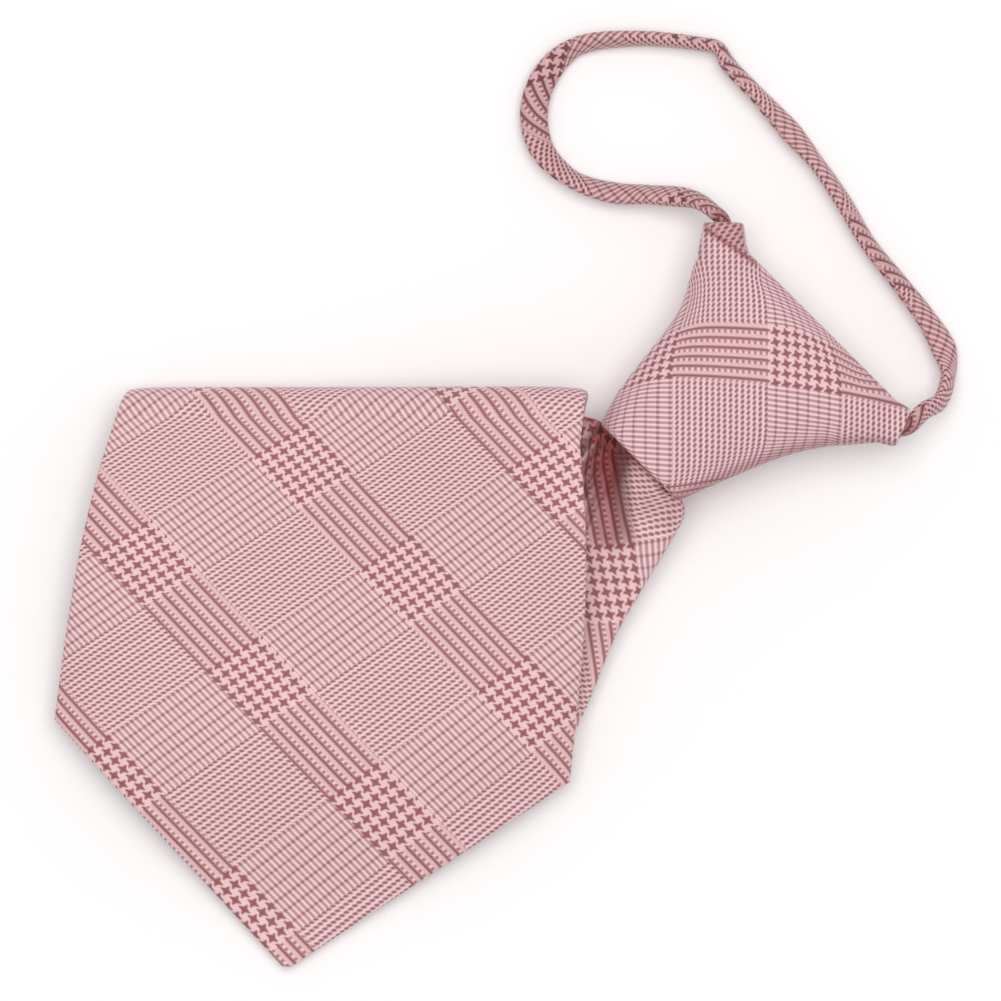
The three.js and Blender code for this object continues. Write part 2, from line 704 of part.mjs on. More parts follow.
const tie = new THREE.Group();
tie.add(piece("blade", bladeGeometry(), silkCloth));
tie.add(knotGroup);
tie.add(piece("neck_band", bandGeometry(), bandCloth));

// The origin lies under the middle of the whole tie, on the table.
tie.updateMatrixWorld(true);
const bounds = new THREE.Box3().setFromObject(tie, true);
const middle = bounds.getCenter(new THREE.Vector3());
tie.position.set(-middle.x, -middle.y, -bounds.min.z);
const part = new THREE.Group();
part.add(tie);

export default part;
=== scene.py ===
# %% [markdown]
# # A zipper tie, lying folded on a table
# The tie is one padded strip of plaid cloth, a sewn knot, a neck loop and a hidden zip. The packed
# model gives every size and place. Here each soft piece is made again as real cloth, thread by thread.

# %% Load the frame
import math

import bmesh
import bpy
import numpy as np
from mathutils import Matrix, Vector


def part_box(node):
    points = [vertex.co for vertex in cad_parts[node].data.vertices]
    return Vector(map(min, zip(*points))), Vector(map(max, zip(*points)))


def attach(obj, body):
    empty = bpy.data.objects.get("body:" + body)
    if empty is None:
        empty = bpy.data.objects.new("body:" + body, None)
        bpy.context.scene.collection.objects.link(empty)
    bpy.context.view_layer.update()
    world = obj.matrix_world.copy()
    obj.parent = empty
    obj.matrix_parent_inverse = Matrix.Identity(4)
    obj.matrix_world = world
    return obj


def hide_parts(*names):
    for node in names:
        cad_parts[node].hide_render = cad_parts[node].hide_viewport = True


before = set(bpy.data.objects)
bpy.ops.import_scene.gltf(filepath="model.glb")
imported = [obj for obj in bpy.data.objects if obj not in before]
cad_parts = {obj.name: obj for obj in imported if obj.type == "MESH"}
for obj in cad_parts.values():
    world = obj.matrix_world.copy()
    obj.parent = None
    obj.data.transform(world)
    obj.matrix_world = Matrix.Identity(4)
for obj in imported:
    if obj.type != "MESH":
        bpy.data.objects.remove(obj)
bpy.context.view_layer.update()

MM = 0.001

# %% [markdown]
# ## The camera
# The photo looks straight down from far off, so a long lens high over the table repeats it. The scale
# of the photo and its middle say how wide the frame is on the table and where its centre lies.

# %% Camera
PHOTO_PIXELS = 1001
PIXELS_PER_MM = 5.85
CAMERA_HEIGHT = 1400.0
SHARP_HEIGHT = 10.0
SENSOR_WIDTH = 36.0
PHOTO_CENTRE = (-0.944, -0.251)


def add_object(name, data):
    """An object at the origin for a mesh, a camera or a light."""
    piece = bpy.data.objects.new(name, data)
    bpy.context.scene.collection.objects.link(piece)
    return piece


def add_camera():
    """A camera straight above the middle of the photo."""
    frame_width = PHOTO_PIXELS / PIXELS_PER_MM
    data = bpy.data.cameras.new("photo_camera")
    data.sensor_width = SENSOR_WIDTH
    data.lens = SENSOR_WIDTH * (CAMERA_HEIGHT - SHARP_HEIGHT) / frame_width
    camera = add_object("photo_camera", data)
    camera.location = (PHOTO_CENTRE[0] * MM, PHOTO_CENTRE[1] * MM, CAMERA_HEIGHT * MM)
    bpy.context.scene.camera = camera
    return data.lens


print("lens in mm:", round(add_camera(), 1))

# %% [markdown]
# ## Helpers
# A tailor writes a pattern as a short table: how wide, how thick, how high at each station. `read`
# draws a smooth curve through such a table, and works on whole arrays of places at once.

# %% Tables and meshes


def heading(degrees):
    """A direction on the table."""
    turn = math.radians(degrees)
    return np.array([math.cos(turn), math.sin(turn)])


def left_of(way):
    """The direction a quarter turn to the left."""
    return np.array([-way[1], way[0]])


def smooth(x, low, high):
    """Rises softly from 0 at low to 1 at high."""
    t = np.clip((np.asarray(x, float) - low) / (high - low), 0, 1)
    return t * t * (3 - 2 * t)


def mix(a, b, share):
    """A share of the way from a to b."""
    return a + (b - a) * share


def table(columns, *rows):
    """A table whose columns are found by name."""
    return {name: np.array([row[i] for row in rows], float) for i, name in enumerate(columns)}


def read(rows, column, at):
    """One column of a table at some places, on a smooth curve through its rows."""
    x = rows["at"]
    y = rows[column]
    last = len(x) - 1
    at = np.clip(np.asarray(at, float), x[0], x[last])
    i = np.searchsorted(x[1:last], at, side="left")
    before = np.maximum(np.arange(last + 1) - 1, 0)
    after = np.minimum(np.arange(last + 1) + 1, last)
    slope = (y[after] - y[before]) / (x[after] - x[before])
    span = x[i + 1] - x[i]
    t = (at - x[i]) / span
    flat = y[i + 1] == y[i]
    m0 = np.where(flat, 0, slope[i])
    m1 = np.where(flat, 0, slope[i + 1])
    ends = (2 * t**3 - 3 * t**2 + 1) * y[i] + (3 * t**2 - 2 * t**3) * y[i + 1]
    return ends + span * ((t**3 - 2 * t**2 + t) * m0 + (t**3 - t**2) * m1)


def rounded(x, roundness):
    """A sine or cosine bent so that a round loop made of it gets flatter sides."""
    return np.sign(x) * np.abs(x) ** (2 / roundness)


def lengths_along(points):
    """The length from the first of some points to each of them, along the points."""
    return np.append(0, np.cumsum(np.linalg.norm(np.diff(points, axis=0), axis=1)))


def plain_mesh(name, points, faces):
    """A mesh of points in millimetres, shaded smooth."""
    mesh = bpy.data.meshes.new(name)
    mesh.from_pydata((np.asarray(points) * MM).tolist(), [], faces)
    mesh.update()
    mesh.shade_smooth()
    return mesh


def skin(name, loops):
    """A mesh skinned over loops of points, with a fan round a middle point at each end."""
    rows, count = len(loops), len(loops[0])
    points = np.vstack([*loops, loops[0].mean(axis=0)[None], loops[-1].mean(axis=0)[None]])
    faces = []
    for row in range(rows - 1):
        low, high = row * count, (row + 1) * count
        for k in range(count):
            after = (k + 1) % count
            faces.append((low + k, low + after, high + after, high + k))
    last = (rows - 1) * count
    faces.extend([(rows * count, (k + 1) % count, k) for k in range(count)])
    faces.extend([(rows * count + 1, last + k, last + (k + 1) % count) for k in range(count)])
    return plain_mesh(name, points, faces)


def set_threads(mesh, threads):
    """Stores a pair of thread numbers for every corner of every face, as the UV map."""
    layer = mesh.uv_layers.new(name="threads")
    layer.data.foreach_set("uv", threads.astype(np.float32).ravel())


def set_shade(mesh, shade):
    """Stores painted shade: how much darker the cloth's colour is made at every point."""
    layer = mesh.attributes.new("shade", "FLOAT", "POINT")
    layer.data.foreach_set("value", np.asarray(shade, np.float32))


def skin_threads(mesh, threads):
    """Gives a skinned mesh its thread numbers. Each loop's row ends with the first point's again."""
    here, there = threads[:-1], threads[1:]
    quads = np.stack([here[:, :-1], here[:, 1:], there[:, 1:], there[:, :-1]], axis=2)
    first, last = threads[0], threads[-1]
    low_fan = np.stack([first[:-1], first[1:], first[:-1]], axis=1)
    high_fan = np.stack([last[:-1], last[:-1], last[1:]], axis=1)
    set_threads(mesh, np.concatenate([part.reshape(-1, 2) for part in (quads, low_fan, high_fan)]))


def outward(mesh):
    """Turns every face of a closed mesh to point out."""
    work = bmesh.new()
    work.from_mesh(mesh)
    bmesh.ops.recalc_face_normals(work, faces=work.faces)
    work.to_mesh(mesh)
    work.free()
    return mesh


# %% [markdown]
# ## Folding the blade
# A tie's blade is a flat strip, so the surest way to get honest folds is to keep flat coordinates,
# u across and v along, and lay every point on the table: down the first run, up round the hidden
# lower fold, back over itself, round the upper fold and down the front panel. Cloth laid this way
# never stretches, and its plaid runs true through each fold.

# %% Sizes of the blade, in millimetres
BLADE_WIDTH = 89.0
BLADE_THICKNESS = 3.0
UPPER_FOLD_WIDTH = 78.4
LOWER_FOLD_WIDTH = 49.0
PANEL_LENGTH = 94.9
POINT_DEPTH = 37.4
POINT_ROUNDING = 1.6
LOWER_RUN = 59.0
MIDDLE_RUN = 52.4
UPPER_FOLD_SLACK = 2.3
LOWER_FOLD_SLACK = 1.1
BLADE_HEADING = 230.1
LOWER_CREASE_HEADING = 163.5
UPPER_CREASE_HEADING = 180.0
GATHER_WIDTH = 15.0
GATHER_THICKNESS = 11.4
GATHER_ROOT = 20.0
DIMPLE_DEPTH = 6.5
DEEPEST_CREASE = 0.88
PANEL_LIFT = 9.6
CORNER_DROOP = 4.4
KNOT_WIDTH = 51.0
KNOT_HEIGHT = 38.2
KNOT_DEPTH = 17.0
KNOT_WALL = 1.2
KNOT_TURN = -45.0
KNOT_PLACE = np.array([55.5, 28.5])
COIL_HEIGHT = 1.9
ZIP_BELOW_KNOT = 40.0
ZIP_BEHIND_KNOT = 26.0
CLEARANCE = 0.3

ZIP_TOP = COIL_HEIGHT + CLEARANCE
KNOT_MIDDLE = ZIP_TOP + KNOT_DEPTH / 2

KNOT_ROWS = table(
    ("at", "left", "right", "deep"),
    (-0.012, -0.42, 0.34, 0.3),
    (0.02, -0.455, 0.37, 0.56),
    (0.07, -0.48, 0.4, 0.76),
    (0.16, -0.485, 0.39, 0.9),
    (0.26, -0.45, 0.33, 0.97),
    (0.37, -0.407, 0.262, 1),
    (0.52, -0.384, 0.193, 1),
    (0.68, -0.37, 0.14, 0.99),
    (0.84, -0.353, 0.092, 0.96),
    (1, -0.32, 0.048, 0.92),
    (1.14, -0.29, 0.02, 0.86),
)
EXIT_CENTRE = float(read(KNOT_ROWS, "left", 1) + read(KNOT_ROWS, "right", 1)) / 2 * KNOT_WIDTH


def from_knot(x, y):
    """Places in the knot's upright frame, on the table."""
    side = heading(KNOT_TURN)
    up = heading(KNOT_TURN + 90)
    return KNOT_PLACE + np.multiply.outer(x, side) + np.multiply.outer(y, up)


def table_shift():
    """How far the part's frame is from the photo's, measured on the zip's own solid."""
    low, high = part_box("zipper")
    middle = (ZIP_BEHIND_KNOT - ZIP_BELOW_KNOT) / 2 - KNOT_HEIGHT
    there = from_knot(EXIT_CENTRE, middle)
    return np.array([(low.x + high.x) / 2 / MM - there[0], (low.y + high.y) / 2 / MM - there[1], 0])


SHIFT = table_shift()
print("shift to the part's frame in mm:", SHIFT.round(3))

# %% [markdown]
# Each fold is half a turn round a hidden roll. A crease that isn't square to the strip sends the cloth
# off in a new direction, as when you fold a paper ribbon.

# %% Folds
LOWER_FOLD_RADIUS = BLADE_THICKNESS / 2 + LOWER_FOLD_SLACK
UPPER_FOLD_RADIUS = BLADE_THICKNESS / 2 + UPPER_FOLD_SLACK
START = from_knot(EXIT_CENTRE, -KNOT_HEIGHT)
DOWN = heading(BLADE_HEADING)
RIGHT = left_of(DOWN)
MIDDLE_HEADING = 2 * LOWER_CREASE_HEADING - BLADE_HEADING


def bend(point, crease, way, radius):
    """A fold: its line on the table, the side beyond it, and the length of cloth in its roll."""
    along = heading(crease)
    beyond = left_of(along)
    beyond = beyond * np.sign(beyond @ heading(way))
    roll = math.pi * radius
    length = roll / (beyond @ heading(way))
    return {
        "point": point, "along": along, "beyond": beyond, "radius": radius, "roll": roll, "length": length
    }


LOWER_BEND = bend(START + DOWN * LOWER_RUN, LOWER_CREASE_HEADING, BLADE_HEADING, LOWER_FOLD_RADIUS)
drift = (LOWER_BEND["along"] @ DOWN) * LOWER_BEND["length"]
lower_end = LOWER_BEND["point"] + LOWER_BEND["along"] * drift
UPPER_BEND = bend(
    lower_end + heading(MIDDLE_HEADING) * MIDDLE_RUN,
    UPPER_CREASE_HEADING,
    MIDDLE_HEADING,
    UPPER_FOLD_RADIUS,
)
MIDDLE_START = LOWER_RUN + LOWER_BEND["length"]
UPPER_START = MIDDLE_START + MIDDLE_RUN
PANEL_START = UPPER_START + UPPER_BEND["length"]
CORNER_AT = PANEL_START + PANEL_LENGTH - POINT_DEPTH
TIP_AT = PANEL_START + PANEL_LENGTH
print("cloth from knot to tip in mm:", round(TIP_AT, 1))

# %% [markdown]
# The blade's shape is a handful of short tables. Along the lower run they say how far each half has
# spread from the gathers to the fold, how thick the strip is and how flat. The creases are lines pressed
# into the cloth, the two first of which make the dimple. A crease that is a little negative is a ridge.

# %% Tables of the blade
LOWER_RUN_ROWS = table(
    ("at", "left", "right", "thick", "flat"),
    (0.022, 0, 0, 1, 0),
    (0.055, 0.28, 0.22, 0.86, 0.1),
    (0.12, 0.44, 0.31, 0.66, 0.3),
    (0.22, 0.54, 0.38, 0.46, 0.5),
    (0.42, 0.68, 0.5, 0.2, 0.9),
    (0.66, 0.82, 0.76, 0.02, 1),
    (1, 1, 1, 0, 1),
)
LIFT_ROWS = table(
    ("at", "share"), (-0.3, 0.92), (0, 1), (0.2, 0.86), (0.45, 0.5), (0.75, 0.2), (1.1, 0)
)
PANEL_ROWS = table(
    ("at", "share"),
    (0, 0.94), (0.3, 0.96), (0.5, 1), (0.6, 0.97), (0.72, 0.74), (0.86, 0.36), (1, 0.15),
)
PANEL_EDGE_ROWS = table(("at", "wide"), (0, 0), (0.24, 0.5), (0.5, 0.82), (0.75, 0.95), (1, 1))
# Creases pressed into the gathers. Shares: u of the blade's width, v of the lower run.
CREASES = table(
    ("u0", "v0", "u1", "v1", "wide", "deep"),
    (-0.078, 0.0, -0.05, 0.05, 0.036, 1.35),
    (-0.05, 0.05, 0.035, 0.2, 0.03, 0.95),
    (-0.02, 0.02, 0.085, 0.17, 0.014, -0.16),
    (0.075, 0.02, 0.115, 0.12, 0.012, 0.14),
    (-0.092, 0.02, -0.112, 0.24, 0.008, 0.5),
    (-0.07, 0.05, -0.078, 0.28, 0.008, 0.6),
    (-0.05, 0.05, -0.04, 0.27, 0.008, 0.6),
    (-0.032, 0.05, -0.002, 0.25, 0.008, 0.5),
)


def lean_of(crease, way):
    """How far a row must lean to lie along a crease."""
    along = heading(crease)
    forward = heading(way)
    return (along @ forward) / (along @ left_of(forward))


LOWER_LEAN = lean_of(LOWER_CREASE_HEADING, BLADE_HEADING)
UPPER_LEAN = -lean_of(UPPER_CREASE_HEADING, MIDDLE_HEADING)
LEAN_ROWS = table(
    ("at", "lean"),
    (0, 0), (LOWER_RUN * 0.55, LOWER_LEAN * 0.6), (LOWER_RUN, LOWER_LEAN), (MIDDLE_START, LOWER_LEAN),
    (UPPER_START, UPPER_LEAN), (PANEL_START, UPPER_LEAN), (CORNER_AT, 0), (TIP_AT, 0),
)

# %% [markdown]
# ## Laying the cloth
# `lay` takes flat places and gives places over the table. The gathers swell where the strip leaves
# the knot, and what lies on top of them is lifted.

# %% Lay the cloth
CREASE_START = (-2, 0.5)
RISE_START = 0.5
RISE_END = LOWER_RUN * 0.15
LEVEL_START = ZIP_BELOW_KNOT + 1
LEVEL_END = LOWER_RUN - 3
LIFT_REACH = LOWER_RUN * 0.55
BACK_LIFT_END = 0.4
# Shares of the panel's length from the upper fold to the tip.
FOLD_BLEND_END = 0.25
DROOP_START = (0.25, 0.6)
DROOP_END = (0.62, 0.9)
FRONT_LIFT_SPAN = (0.55, 0.8)


def half_width(v, side):
    """Half width of the flat cloth on the left (-1) or right (+1) side."""
    spread = np.where(
        side < 0,
        read(LOWER_RUN_ROWS, "left", v / LOWER_RUN),
        read(LOWER_RUN_ROWS, "right", v / LOWER_RUN),
    )
    run = mix(GATHER_WIDTH / 2, LOWER_FOLD_WIDTH / 2, spread)
    middle = mix(LOWER_FOLD_WIDTH, UPPER_FOLD_WIDTH, np.clip((v - MIDDLE_START) / MIDDLE_RUN, 0, 1)) / 2
    panel_share = read(PANEL_EDGE_ROWS, "wide", (v - PANEL_START) / (CORNER_AT - PANEL_START))
    panel = mix(UPPER_FOLD_WIDTH, BLADE_WIDTH, panel_share) / 2
    point = mix(BLADE_WIDTH, POINT_ROUNDING, (v - CORNER_AT) / POINT_DEPTH) / 2
    return np.select([v < LOWER_RUN, v < PANEL_START, v <= CORNER_AT], [run, middle, panel], point)


def thickness_at(v):
    """Thickness of the strip, swollen where it is gathered."""
    return mix(BLADE_THICKNESS, GATHER_THICKNESS, read(LOWER_RUN_ROWS, "thick", v / LOWER_RUN))


def crease_depth(u, v):
    """Depth pressed into the gathers."""
    depth = np.zeros_like(u)
    for u0, v0, u1, v1, wide, deep in zip(*CREASES.values()):
        start = np.array([u0 * BLADE_WIDTH, v0 * LOWER_RUN])
        run = np.array([u1 * BLADE_WIDTH, v1 * LOWER_RUN]) - start
        share = np.clip(((u - start[0]) * run[0] + (v - start[1]) * run[1]) / (run @ run), 0, 1)
        away = np.hypot(u - start[0] - run[0] * share, v - start[1] - run[1] * share)
        depth += deep * DIMPLE_DEPTH * np.exp(-((away / (wide * BLADE_WIDTH)) ** 2))
    limit = DEEPEST_CREASE * thickness_at(v)
    return limit * np.tanh(depth * smooth(v, *CREASE_START) / limit)


def lower_run_height(v):
    """Height of the cloth's middle while it lies in the lower run."""
    low = (ZIP_TOP + CLEARANCE) * (1 - smooth(v, LEVEL_START, LEVEL_END))
    return mix(KNOT_MIDDLE, low + thickness_at(v) / 2, smooth(v, RISE_START, RISE_END))


def lift_at(place):
    """Height gained over the gathers at places on the table."""
    offset = place - START
    v = offset @ DOWN
    u = offset @ RIGHT
    outside = np.maximum(0, np.abs(u) - half_width(np.clip(v, 0, LOWER_RUN), np.sign(u)))
    fade = np.exp(-((outside / LIFT_REACH) ** 2))
    return PANEL_LIFT * read(LIFT_ROWS, "share", v / LOWER_RUN) * fade


def over_fold(fold, flat, out):
    """Places past a fold: how far past, their foot on its line, the place and height in its roll, and
    where they come out below it. The last number says how far they are from the cloth's middle."""
    past = (flat - fold["point"]) @ fold["beyond"]
    foot = flat - np.multiply.outer(past, fold["beyond"])
    turn = past / fold["radius"]
    reach = fold["radius"] + out
    rolled = foot + np.multiply.outer(np.sin(turn) * reach, fold["beyond"])
    height = BLADE_THICKNESS / 2 + fold["radius"] - np.cos(turn) * reach
    return past, foot, rolled, height, foot - np.multiply.outer(past - fold["roll"], fold["beyond"])


def lay(u, v, h):
    """Where points of the cloth lie: u across, v along, h out of its front face."""
    fold_height = BLADE_THICKNESS / 2
    flat = START + np.multiply.outer(v, DOWN) + np.multiply.outer(u, RIGHT)
    past_lower, _, lower_roll, lower_height, place = over_fold(LOWER_BEND, flat, -h)
    past_upper, edge, upper_roll, upper_height, front = over_fold(UPPER_BEND, place, h)
    over_lower = fold_height + 2 * LOWER_BEND["radius"]
    back = np.clip(-past_upper / MIDDLE_RUN, 0, 1)
    lifted = lift_at(place) * smooth(1 - back, 0, BACK_LIFT_END)
    middle_height = mix(fold_height, over_lower, smooth(back, 0, 1)) + lifted - h
    upper_height = upper_height + lift_at(edge)
    share = (past_upper - UPPER_BEND["roll"]) / PANEL_LENGTH
    base = (over_lower + BLADE_THICKNESS + CLEARANCE) * read(PANEL_ROWS, "share", share)
    blended = mix(fold_height + 2 * UPPER_BEND["radius"], base, smooth(share, 0, FOLD_BLEND_END))
    side = np.minimum(1, np.abs(u) / (BLADE_WIDTH / 2))
    droop = CORNER_DROOP * side**4 * smooth(share, *DROOP_START) * (1 - smooth(share, *DROOP_END))
    rise = lift_at(front) * (1 - smooth(share, *FRONT_LIFT_SPAN))
    front_height = np.maximum(blended - droop, fold_height) + rise + h
    stages = [
        past_lower <= 0, past_lower < LOWER_BEND["roll"], past_upper <= 0, past_upper < UPPER_BEND["roll"]
    ]
    places = [flat, lower_roll, place, upper_roll]
    heights = [lower_run_height(v) + h, lower_height, middle_height, upper_height]
    xy = np.select([stage[:, None] for stage in stages], places, front)
    return np.column_stack([xy, np.select(stages, heights, front_height)])


# %% [markdown]
# ## The plaid, counted in threads
# The cloth is a glen plaid cut on the bias, so its stripes cross the blade at about forty degrees each
# way. The UV map counts threads, so that the material only has to look at two numbers. Counting in the
# mesh also lets each piece have its own place in the cloth.

# %% Threads of the cloth
THREADS_ALONG = 120.0
THREADS_ACROSS = 132.0
ALONG_REPEAT = 29.9
ACROSS_REPEAT = 31.0
ALONG_ANGLE = 39.3
ACROSS_ANGLE = -41.5
PANEL_BLOCK = (12.9, 25.4)
RUN_BLOCK = (9.3, 18.6)
BLOCK_MIDDLE = (26.0, 22.0)
# The bias cut lets the panel stretch, so its stripes bow by this many threads per square centimetre.
PANEL_BOW = 0.71
PANEL_SKEW = 0.62


def count_threads(u, v, block):
    """Thread numbers along and across the stripes, for flat places around the middle of a check."""
    along = heading(ALONG_ANGLE)
    across = heading(ACROSS_ANGLE)
    inverse = np.linalg.inv(np.column_stack([along, across]))
    steps = np.stack([u - block[0], v - block[1]], axis=-1) @ inverse.T
    j = BLOCK_MIDDLE[0] + steps[..., 0] * THREADS_ALONG / ALONG_REPEAT
    i = BLOCK_MIDDLE[1] - steps[..., 1] * THREADS_ACROSS / ACROSS_REPEAT
    return np.stack([j, i], axis=-1)


def panel_threads(u, v):
    """Thread numbers on the front panel, v counted from the upper fold."""
    threads = count_threads(u, v, PANEL_BLOCK)
    across = u / 10
    down = (v - 50) / 10
    threads[..., 0] -= PANEL_BOW * down**2 + PANEL_SKEW * across * down
    return threads


pitch = (ALONG_REPEAT / THREADS_ALONG, ACROSS_REPEAT / THREADS_ACROSS)
print("thread pitch in mm:", [round(step, 3) for step in pitch])

# %% [markdown]
# Now the strip is skinned: a loop round its section at every station, closer together where it gathers
# and rolls. The hidden stretch between the folds takes up the slip between the run's plaid and the
# panel's, because the photo shows both and the cloth folded away in between is shorter than the real one.

# %% Blade mesh
TOP_COLUMNS = 128
BACK_COLUMNS = 56
# Where each stretch of the strip starts, and its loops: more of them where it gathers and rolls.
STRETCHES = table(
    ("start", "loops"),
    (-GATHER_ROOT, 8), (-1, 118), (LOWER_RUN * 0.36, 46), (LOWER_RUN, 16),
    (MIDDLE_START, 26), (UPPER_START, 30), (PANEL_START, 84), (CORNER_AT, 64),
)
GATHER_ROUNDNESS = 2.6
STRIP_ROUNDNESS = 12.0
EDGE_ROUNDNESS = 4.0
# The outer pleats swell up past the wrap's corners: how far, over which part across, how far down.
LEFT_LOBE = {"side": -1, "push": 3.4, "across": (4, 10), "along": (4, 20)}
RIGHT_LOBE = {"side": 1, "push": 2.2, "across": (4, 9), "along": (3, 14)}
# Painted shade in the gathers: the colour darkens with crease depth, less so further from the knot, and
# most right under the wrap's edge.
PRESSED_SHADE = (0.6, DIMPLE_DEPTH * 0.8)
FAR_CREASE_SHADE = 0.55
NEAR_CREASES = (3, 12)
WRAP_SHADE = 0.8
WRAP_SHADE_REACH = 1.1


def stations():
    """Places along the cloth where a loop is laid."""
    starts = STRETCHES["start"]
    stretches = zip(starts, np.append(starts[1:], TIP_AT), STRETCHES["loops"])
    parts = [np.linspace(a, b, int(count), endpoint=False) for a, b, count in stretches]
    return np.append(np.concatenate(parts), TIP_AT)


def blade_section():
    """Shares across one loop of the strip, from the back seam round the front and back again."""
    top = np.sin(np.pi / 2 * np.linspace(-1, 1, TOP_COLUMNS + 1))
    half_back = np.sin(np.pi / 2 * np.linspace(0, 1, BACK_COLUMNS // 2 + 1))
    left = -half_back[:-1]
    right = half_back[::-1][1:]
    share = np.concatenate([left, top, right])
    face = np.concatenate([-np.ones(len(left)), np.ones(len(top)), -np.ones(len(right))])
    return share, face


def lobe_push(u, v):
    """How far the outer pleats swell up past the corners of the wrap."""
    return sum(
        lobe["push"] * smooth(lobe["side"] * u, *lobe["across"]) * (1 - smooth(v, *lobe["along"]))
        for lobe in (LEFT_LOBE, RIGHT_LOBE)
    )


def shade_at(u, v, pressed):
    """Painted shade: how much the cloth's colour is darkened in its creases and close under the wrap's
    edge.
    """
    in_crease = smooth(pressed, *PRESSED_SHADE) * mix(FAR_CREASE_SHADE, 1, 1 - smooth(v, *NEAR_CREASES))
    below_wrap = v - lobe_push(u, v)
    under_wrap = WRAP_SHADE * np.exp(-np.maximum(below_wrap, 0) / WRAP_SHADE_REACH)
    return np.where(v < LOWER_RUN, np.minimum(1, in_crease + under_wrap), 0)


def blade_loop(v, share, face):
    """One loop of the strip: its points, the lengths across it, its places along and its painted shade.
    """
    lean = np.interp(v, LEAN_ROWS["at"], LEAN_ROWS["lean"])
    flatness = read(LOWER_RUN_ROWS, "flat", v / LOWER_RUN) if v < LOWER_RUN else 1.0
    power = mix(GATHER_ROUNDNESS, STRIP_ROUNDNESS, flatness)
    side = np.where(share < 0, -1.0, 1.0)
    u = share * half_width(np.full_like(share, v), side)
    for _ in range(3):
        u = share * half_width(np.minimum(v + lean * u, TIP_AT), side)
    full = (1 - np.abs(share) ** power) ** (1 / min(power, EDGE_ROUNDNESS))
    at = v + lean * u
    height = face * full * thickness_at(at) / 2
    plain = lay(u, at, height)
    pressed = np.where(face > 0, crease_depth(u, at) * full, 0)
    creased = lay(u, at, height - pressed)
    across = lengths_along(plain)
    middle = np.argmin(np.abs(share) + (face < 0))
    creased[:, :2] -= np.multiply.outer(lobe_push(u, at), DOWN)
    return creased, across - across[middle], at, shade_at(u, at, pressed)


def add_blade():
    """The blade as one closed strip with its threads counted in the UV map."""
    share, face = blade_section()
    loops = []
    threads = []
    shades = []
    for v in stations():
        creased, across, at, shade = blade_loop(v, share, face)
        loops.append(creased[:-1] + SHIFT)
        shades.append(shade[:-1])
        slip = smooth(at, MIDDLE_START, UPPER_START)
        run = count_threads(across, at, RUN_BLOCK)
        panel = panel_threads(across, at - PANEL_START)
        threads.append(mix(run, panel, slip[:, None]))
    mesh = skin("tie_blade", loops)
    skin_threads(mesh, np.array(threads))
    set_shade(mesh, np.append(np.concatenate(shades), [0, 0]))
    return add_object("tie_blade", mesh)


blade = add_blade()
print("blade faces:", len(blade.data.polygons))

# %% [markdown]
# ## The weave as a node group
# A tree of nodes gets long when every link is written out. `Nodes` adds a node, feeds its inputs and
# hands back what it gives, so that the weave can be written nearly as a sum.

# %% Node helpers


class Nodes:
    """A short way to add nodes to a tree and join them up."""

    def __init__(self, tree):
        self.tree = tree

    def add(self, kind, settings=None, **inputs):
        """A node with its settings, its inputs given by name as values or sockets."""
        node = self.tree.nodes.new(kind)
        for name, value in (settings or {}).items():
            setattr(node, name, value)
        for name, value in inputs.items():
            self.feed(node.inputs[name.replace("_", " ")], value)
        return node

    def feed(self, socket, value):
        """Joins a socket to another, or gives it a value."""
        if isinstance(value, bpy.types.NodeSocket):
            self.tree.links.new(value, socket)
        else:
            socket.default_value = value

    def math(self, operation, a, b=0.0, c=0.0):
        """One sum, as a node."""
        node = self.tree.nodes.new("ShaderNodeMath")
        node.operation = operation
        for socket, value in zip(node.inputs, (a, b, c)):
            self.feed(socket, value)
        return node.outputs[0]

    def mix(self, kind, share, a, b, blend="MIX"):
        """Mixes two numbers or two colours."""
        node = self.tree.nodes.new("ShaderNodeMix")
        node.data_type = kind
        if kind == "RGBA":
            node.blend_type = blend
        pick = {"FLOAT": (0, 2, 3, 0), "RGBA": (0, 6, 7, 2)}[kind]
        for index, value in zip(pick, (share, a, b)):
            self.feed(node.inputs[index], value)
        return node.outputs[pick[3]]


def new_tree(name, kind, inputs, outputs):
    """An empty node group: its nodes, what it is given and what it gives, by socket name."""
    tree = bpy.data.node_groups.new(name, kind)
    for way, sockets in (("INPUT", inputs), ("OUTPUT", outputs)):
        for label, socket in sockets.items():
            tree.interface.new_socket(name=label, in_out=way, socket_type="NodeSocket" + socket)
    given = tree.nodes.new("NodeGroupInput").outputs
    return Nodes(tree), given, tree.nodes.new("NodeGroupOutput").inputs


def rgb(red, green, blue):
    """A colour given as it looks on screen, in the numbers that light is added in."""
    return (*[((c / 255 + 0.055) / 1.055) ** 2.4 for c in (red, green, blue)], 1.0)


def plain_material(name, colour, roughness):
    """One even colour."""
    material = bpy.data.materials.new(name)
    material.use_nodes = True
    shader = material.node_tree.nodes["Principled BSDF"]
    shader.inputs["Base Color"].default_value = colour
    shader.inputs["Roughness"].default_value = roughness
    return material


# %% [markdown]
# A glen plaid is two sets of bands that cross. Where a stripe band meets a crossing band there are
# stars; elsewhere the stripe band has dark lines with rows of dots, the crossing band has boxes, and
# what is left is a fine check. For every point the group works out how dark each of the four is from
# its thread numbers, picks the one it lies in, and adds the slant of the twill and uneven yarn. Below, an
# edge is a number of threads and how softly it is drawn, and tones are how dark it is off and on a form.

